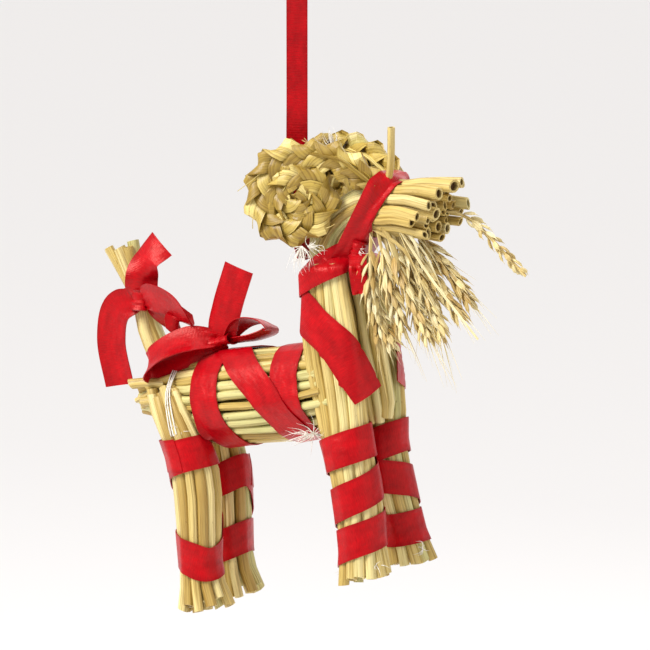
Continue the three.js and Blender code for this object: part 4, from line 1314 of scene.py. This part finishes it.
# %% Tufts
TUFTS = [  # root, direction, spread, reach and number of fibres
    ((2.9, -14, 95.4), (-0.1, -0.35, -1), 0.35, 9, 26), ((5, -14.2, 95), (0.9, -0.5, -0.4), 0.35, 6, 14),
    ((7.6, 4, 121), (0.1, 0, 1), 0.35, 6, 16), ((16, -5.5, 91.6), (0.8, -0.7, -0.3), 0.3, 6, 6),
    ((-7, -13, 42.6), (0.2, -0.8, -0.1), 0.6, 7, 26), ((-9, -12, 42.4), (-0.8, -0.5, 0), 0.4, 8, 12),
]
for x, y in ((-5, -15), (6, -14.5), (7, 9)):  # fluff caught in the cut ends of the feet
    TUFTS.append(((x, y, 3), (0.3, -0.6, -0.2), 0.7, 4, 7))
join("cotton_tufts", [fibre for row in TUFTS for fibre in tuft(*row)], COTTON, "cotton_thread")

# %% [markdown]
# ## Hanging ribbon
# The goat hangs from a narrower ribbon, doubled. Both strands run up from the nape, side by side and facing
# the same way, and open into a small round loop at the top, just above the view. It is a free cord, so its
# route repeats the one of its solid, point by point, in metres. It is a strip laid
# like the others, so that it carries the weave too.
# %% Lay the hanging ribbon
HANGING_WIDTH = 0.006
FACING = math.radians(33)
STRANDS = [  # x, z, half the distance between the strands, and how far each is still turned to the nape
    (0.0034, -0.0956, 0.00125, 1), (0.0016, -0.0896, 0.00125, 0.8), (0.0004, -0.0816, 0.00125, 0.3),
    (0, -0.0716, 0.00125, 0), (0, -0.048, 0.00125, 0), (0, -0.024, 0.00135, 0), (0, -0.015, 0.003, 0)]
LOOP_RADIUS = 0.0055


def strand(side):
    """One strand from the nape upwards, as rows of (point, direction across)."""
    rows = []
    for x, z, spread, twist in STRANDS:
        turn = FACING + twist * (math.pi / 2 - FACING)
        rows.append(((x - math.sin(turn) * spread * side, math.cos(turn) * spread * side, z),
                     (math.cos(turn), math.sin(turn), 0)))
    return rows


def loop_point(a):
    """A point of the round loop, with the same direction across as the strands below it."""
    level = LOOP_RADIUS * math.cos(a)
    return ((-math.sin(FACING) * level, math.cos(FACING) * level, LOOP_RADIUS * (math.sin(a) - 1)),
            (math.cos(FACING), math.sin(FACING), 0))


loop = [loop_point(a) for a in np.radians([30, 60, 90, 120, 150])]
route = strand(1) + loop + strand(-1)[::-1]
ribbon_line = smooth(np.array([p for p, _ in route]) / MM, 400)
ribbon_across = smooth_directions([a for _, a in route], 400)
hanging_line = ribbon_line * MM
level_across = ribbon_across @ np.array(LEVEL.to_3x3()).T
strip = lay(strip_template(240), "hanging_satin", moved(LEVEL, hanging_line), level_across,
            HANGING_WIDTH / MM / 2, 0)
hanging = join("hanging_satin", [thicken(strip, 0.32)], GROSGRAIN, "satin_ribbon", "hanging_ribbon")

# %% [markdown]
# ## Floor and light
# A plain pale floor lies well below the hanging goat, so that it stays free of its shadow. A broad sun over
# the viewer's left shoulder gives soft shadows and lights the floor. Four area lights stand near the goat, to
# the left, to the right, above and behind, and a pale world fills the rest.
# %% Stage and lights
FLOOR_DROP, FLOOR_SIZE = 0.3, 16
FLOOR = cad_low.z - FLOOR_DROP
deselect()
bpy.ops.mesh.primitive_plane_add(size=FLOOR_SIZE, location=(0, 0, FLOOR))
floor = bpy.context.object
floor.name = "floor"
paper = Nodes("paper")
floor.data.materials.append(paper.finish(Base_Color=linear(246, 244, 243), Roughness=0.9))

LIGHTS = [  # name, degrees from the camera, degrees up, distance and size in metres, watts
    ("key", -55, 42, 0.9, 0.45, 5), ("fill", 50, 15, 1.1, 0.9, 2),
    ("top", 0, 85, 0.9, 0.8, 3), ("rear", 150, 30, 1.0, 0.8, 3)]
for name, turn, rise, distance, size, power in LIGHTS:
    a, e = AZIMUTH + math.radians(turn), math.radians(rise)
    way = Vector((math.sin(a) * math.cos(e), -math.cos(a) * math.cos(e), math.sin(e)))
    bpy.ops.object.light_add(type="AREA", location=TARGET + distance * way)
    light = bpy.context.object
    light.name = name + "_light"
    light.rotation_euler = way.to_track_quat("Z", "Y").to_euler()
    light.data.size = size
    light.data.energy = power

deselect()
SUN_TILT, SUN_ANGLE, SUN_STRENGTH = (math.radians(42), math.radians(-28), 0), math.radians(35), 1.9
bpy.ops.object.light_add(type="SUN", location=(0, 0, 2), rotation=SUN_TILT)
sun = bpy.context.object
sun.name = "tent_light"
sun.data.energy = SUN_STRENGTH
sun.data.angle = SUN_ANGLE

world = bpy.data.worlds.new("studio")
bpy.context.scene.world = world
world.use_nodes = True
surround = world.node_tree.nodes["Background"]
surround.inputs["Color"].default_value = linear(247, 245, 244)
surround.inputs["Strength"].default_value = 0.6
print("lights:", [row[0] for row in LIGHTS])
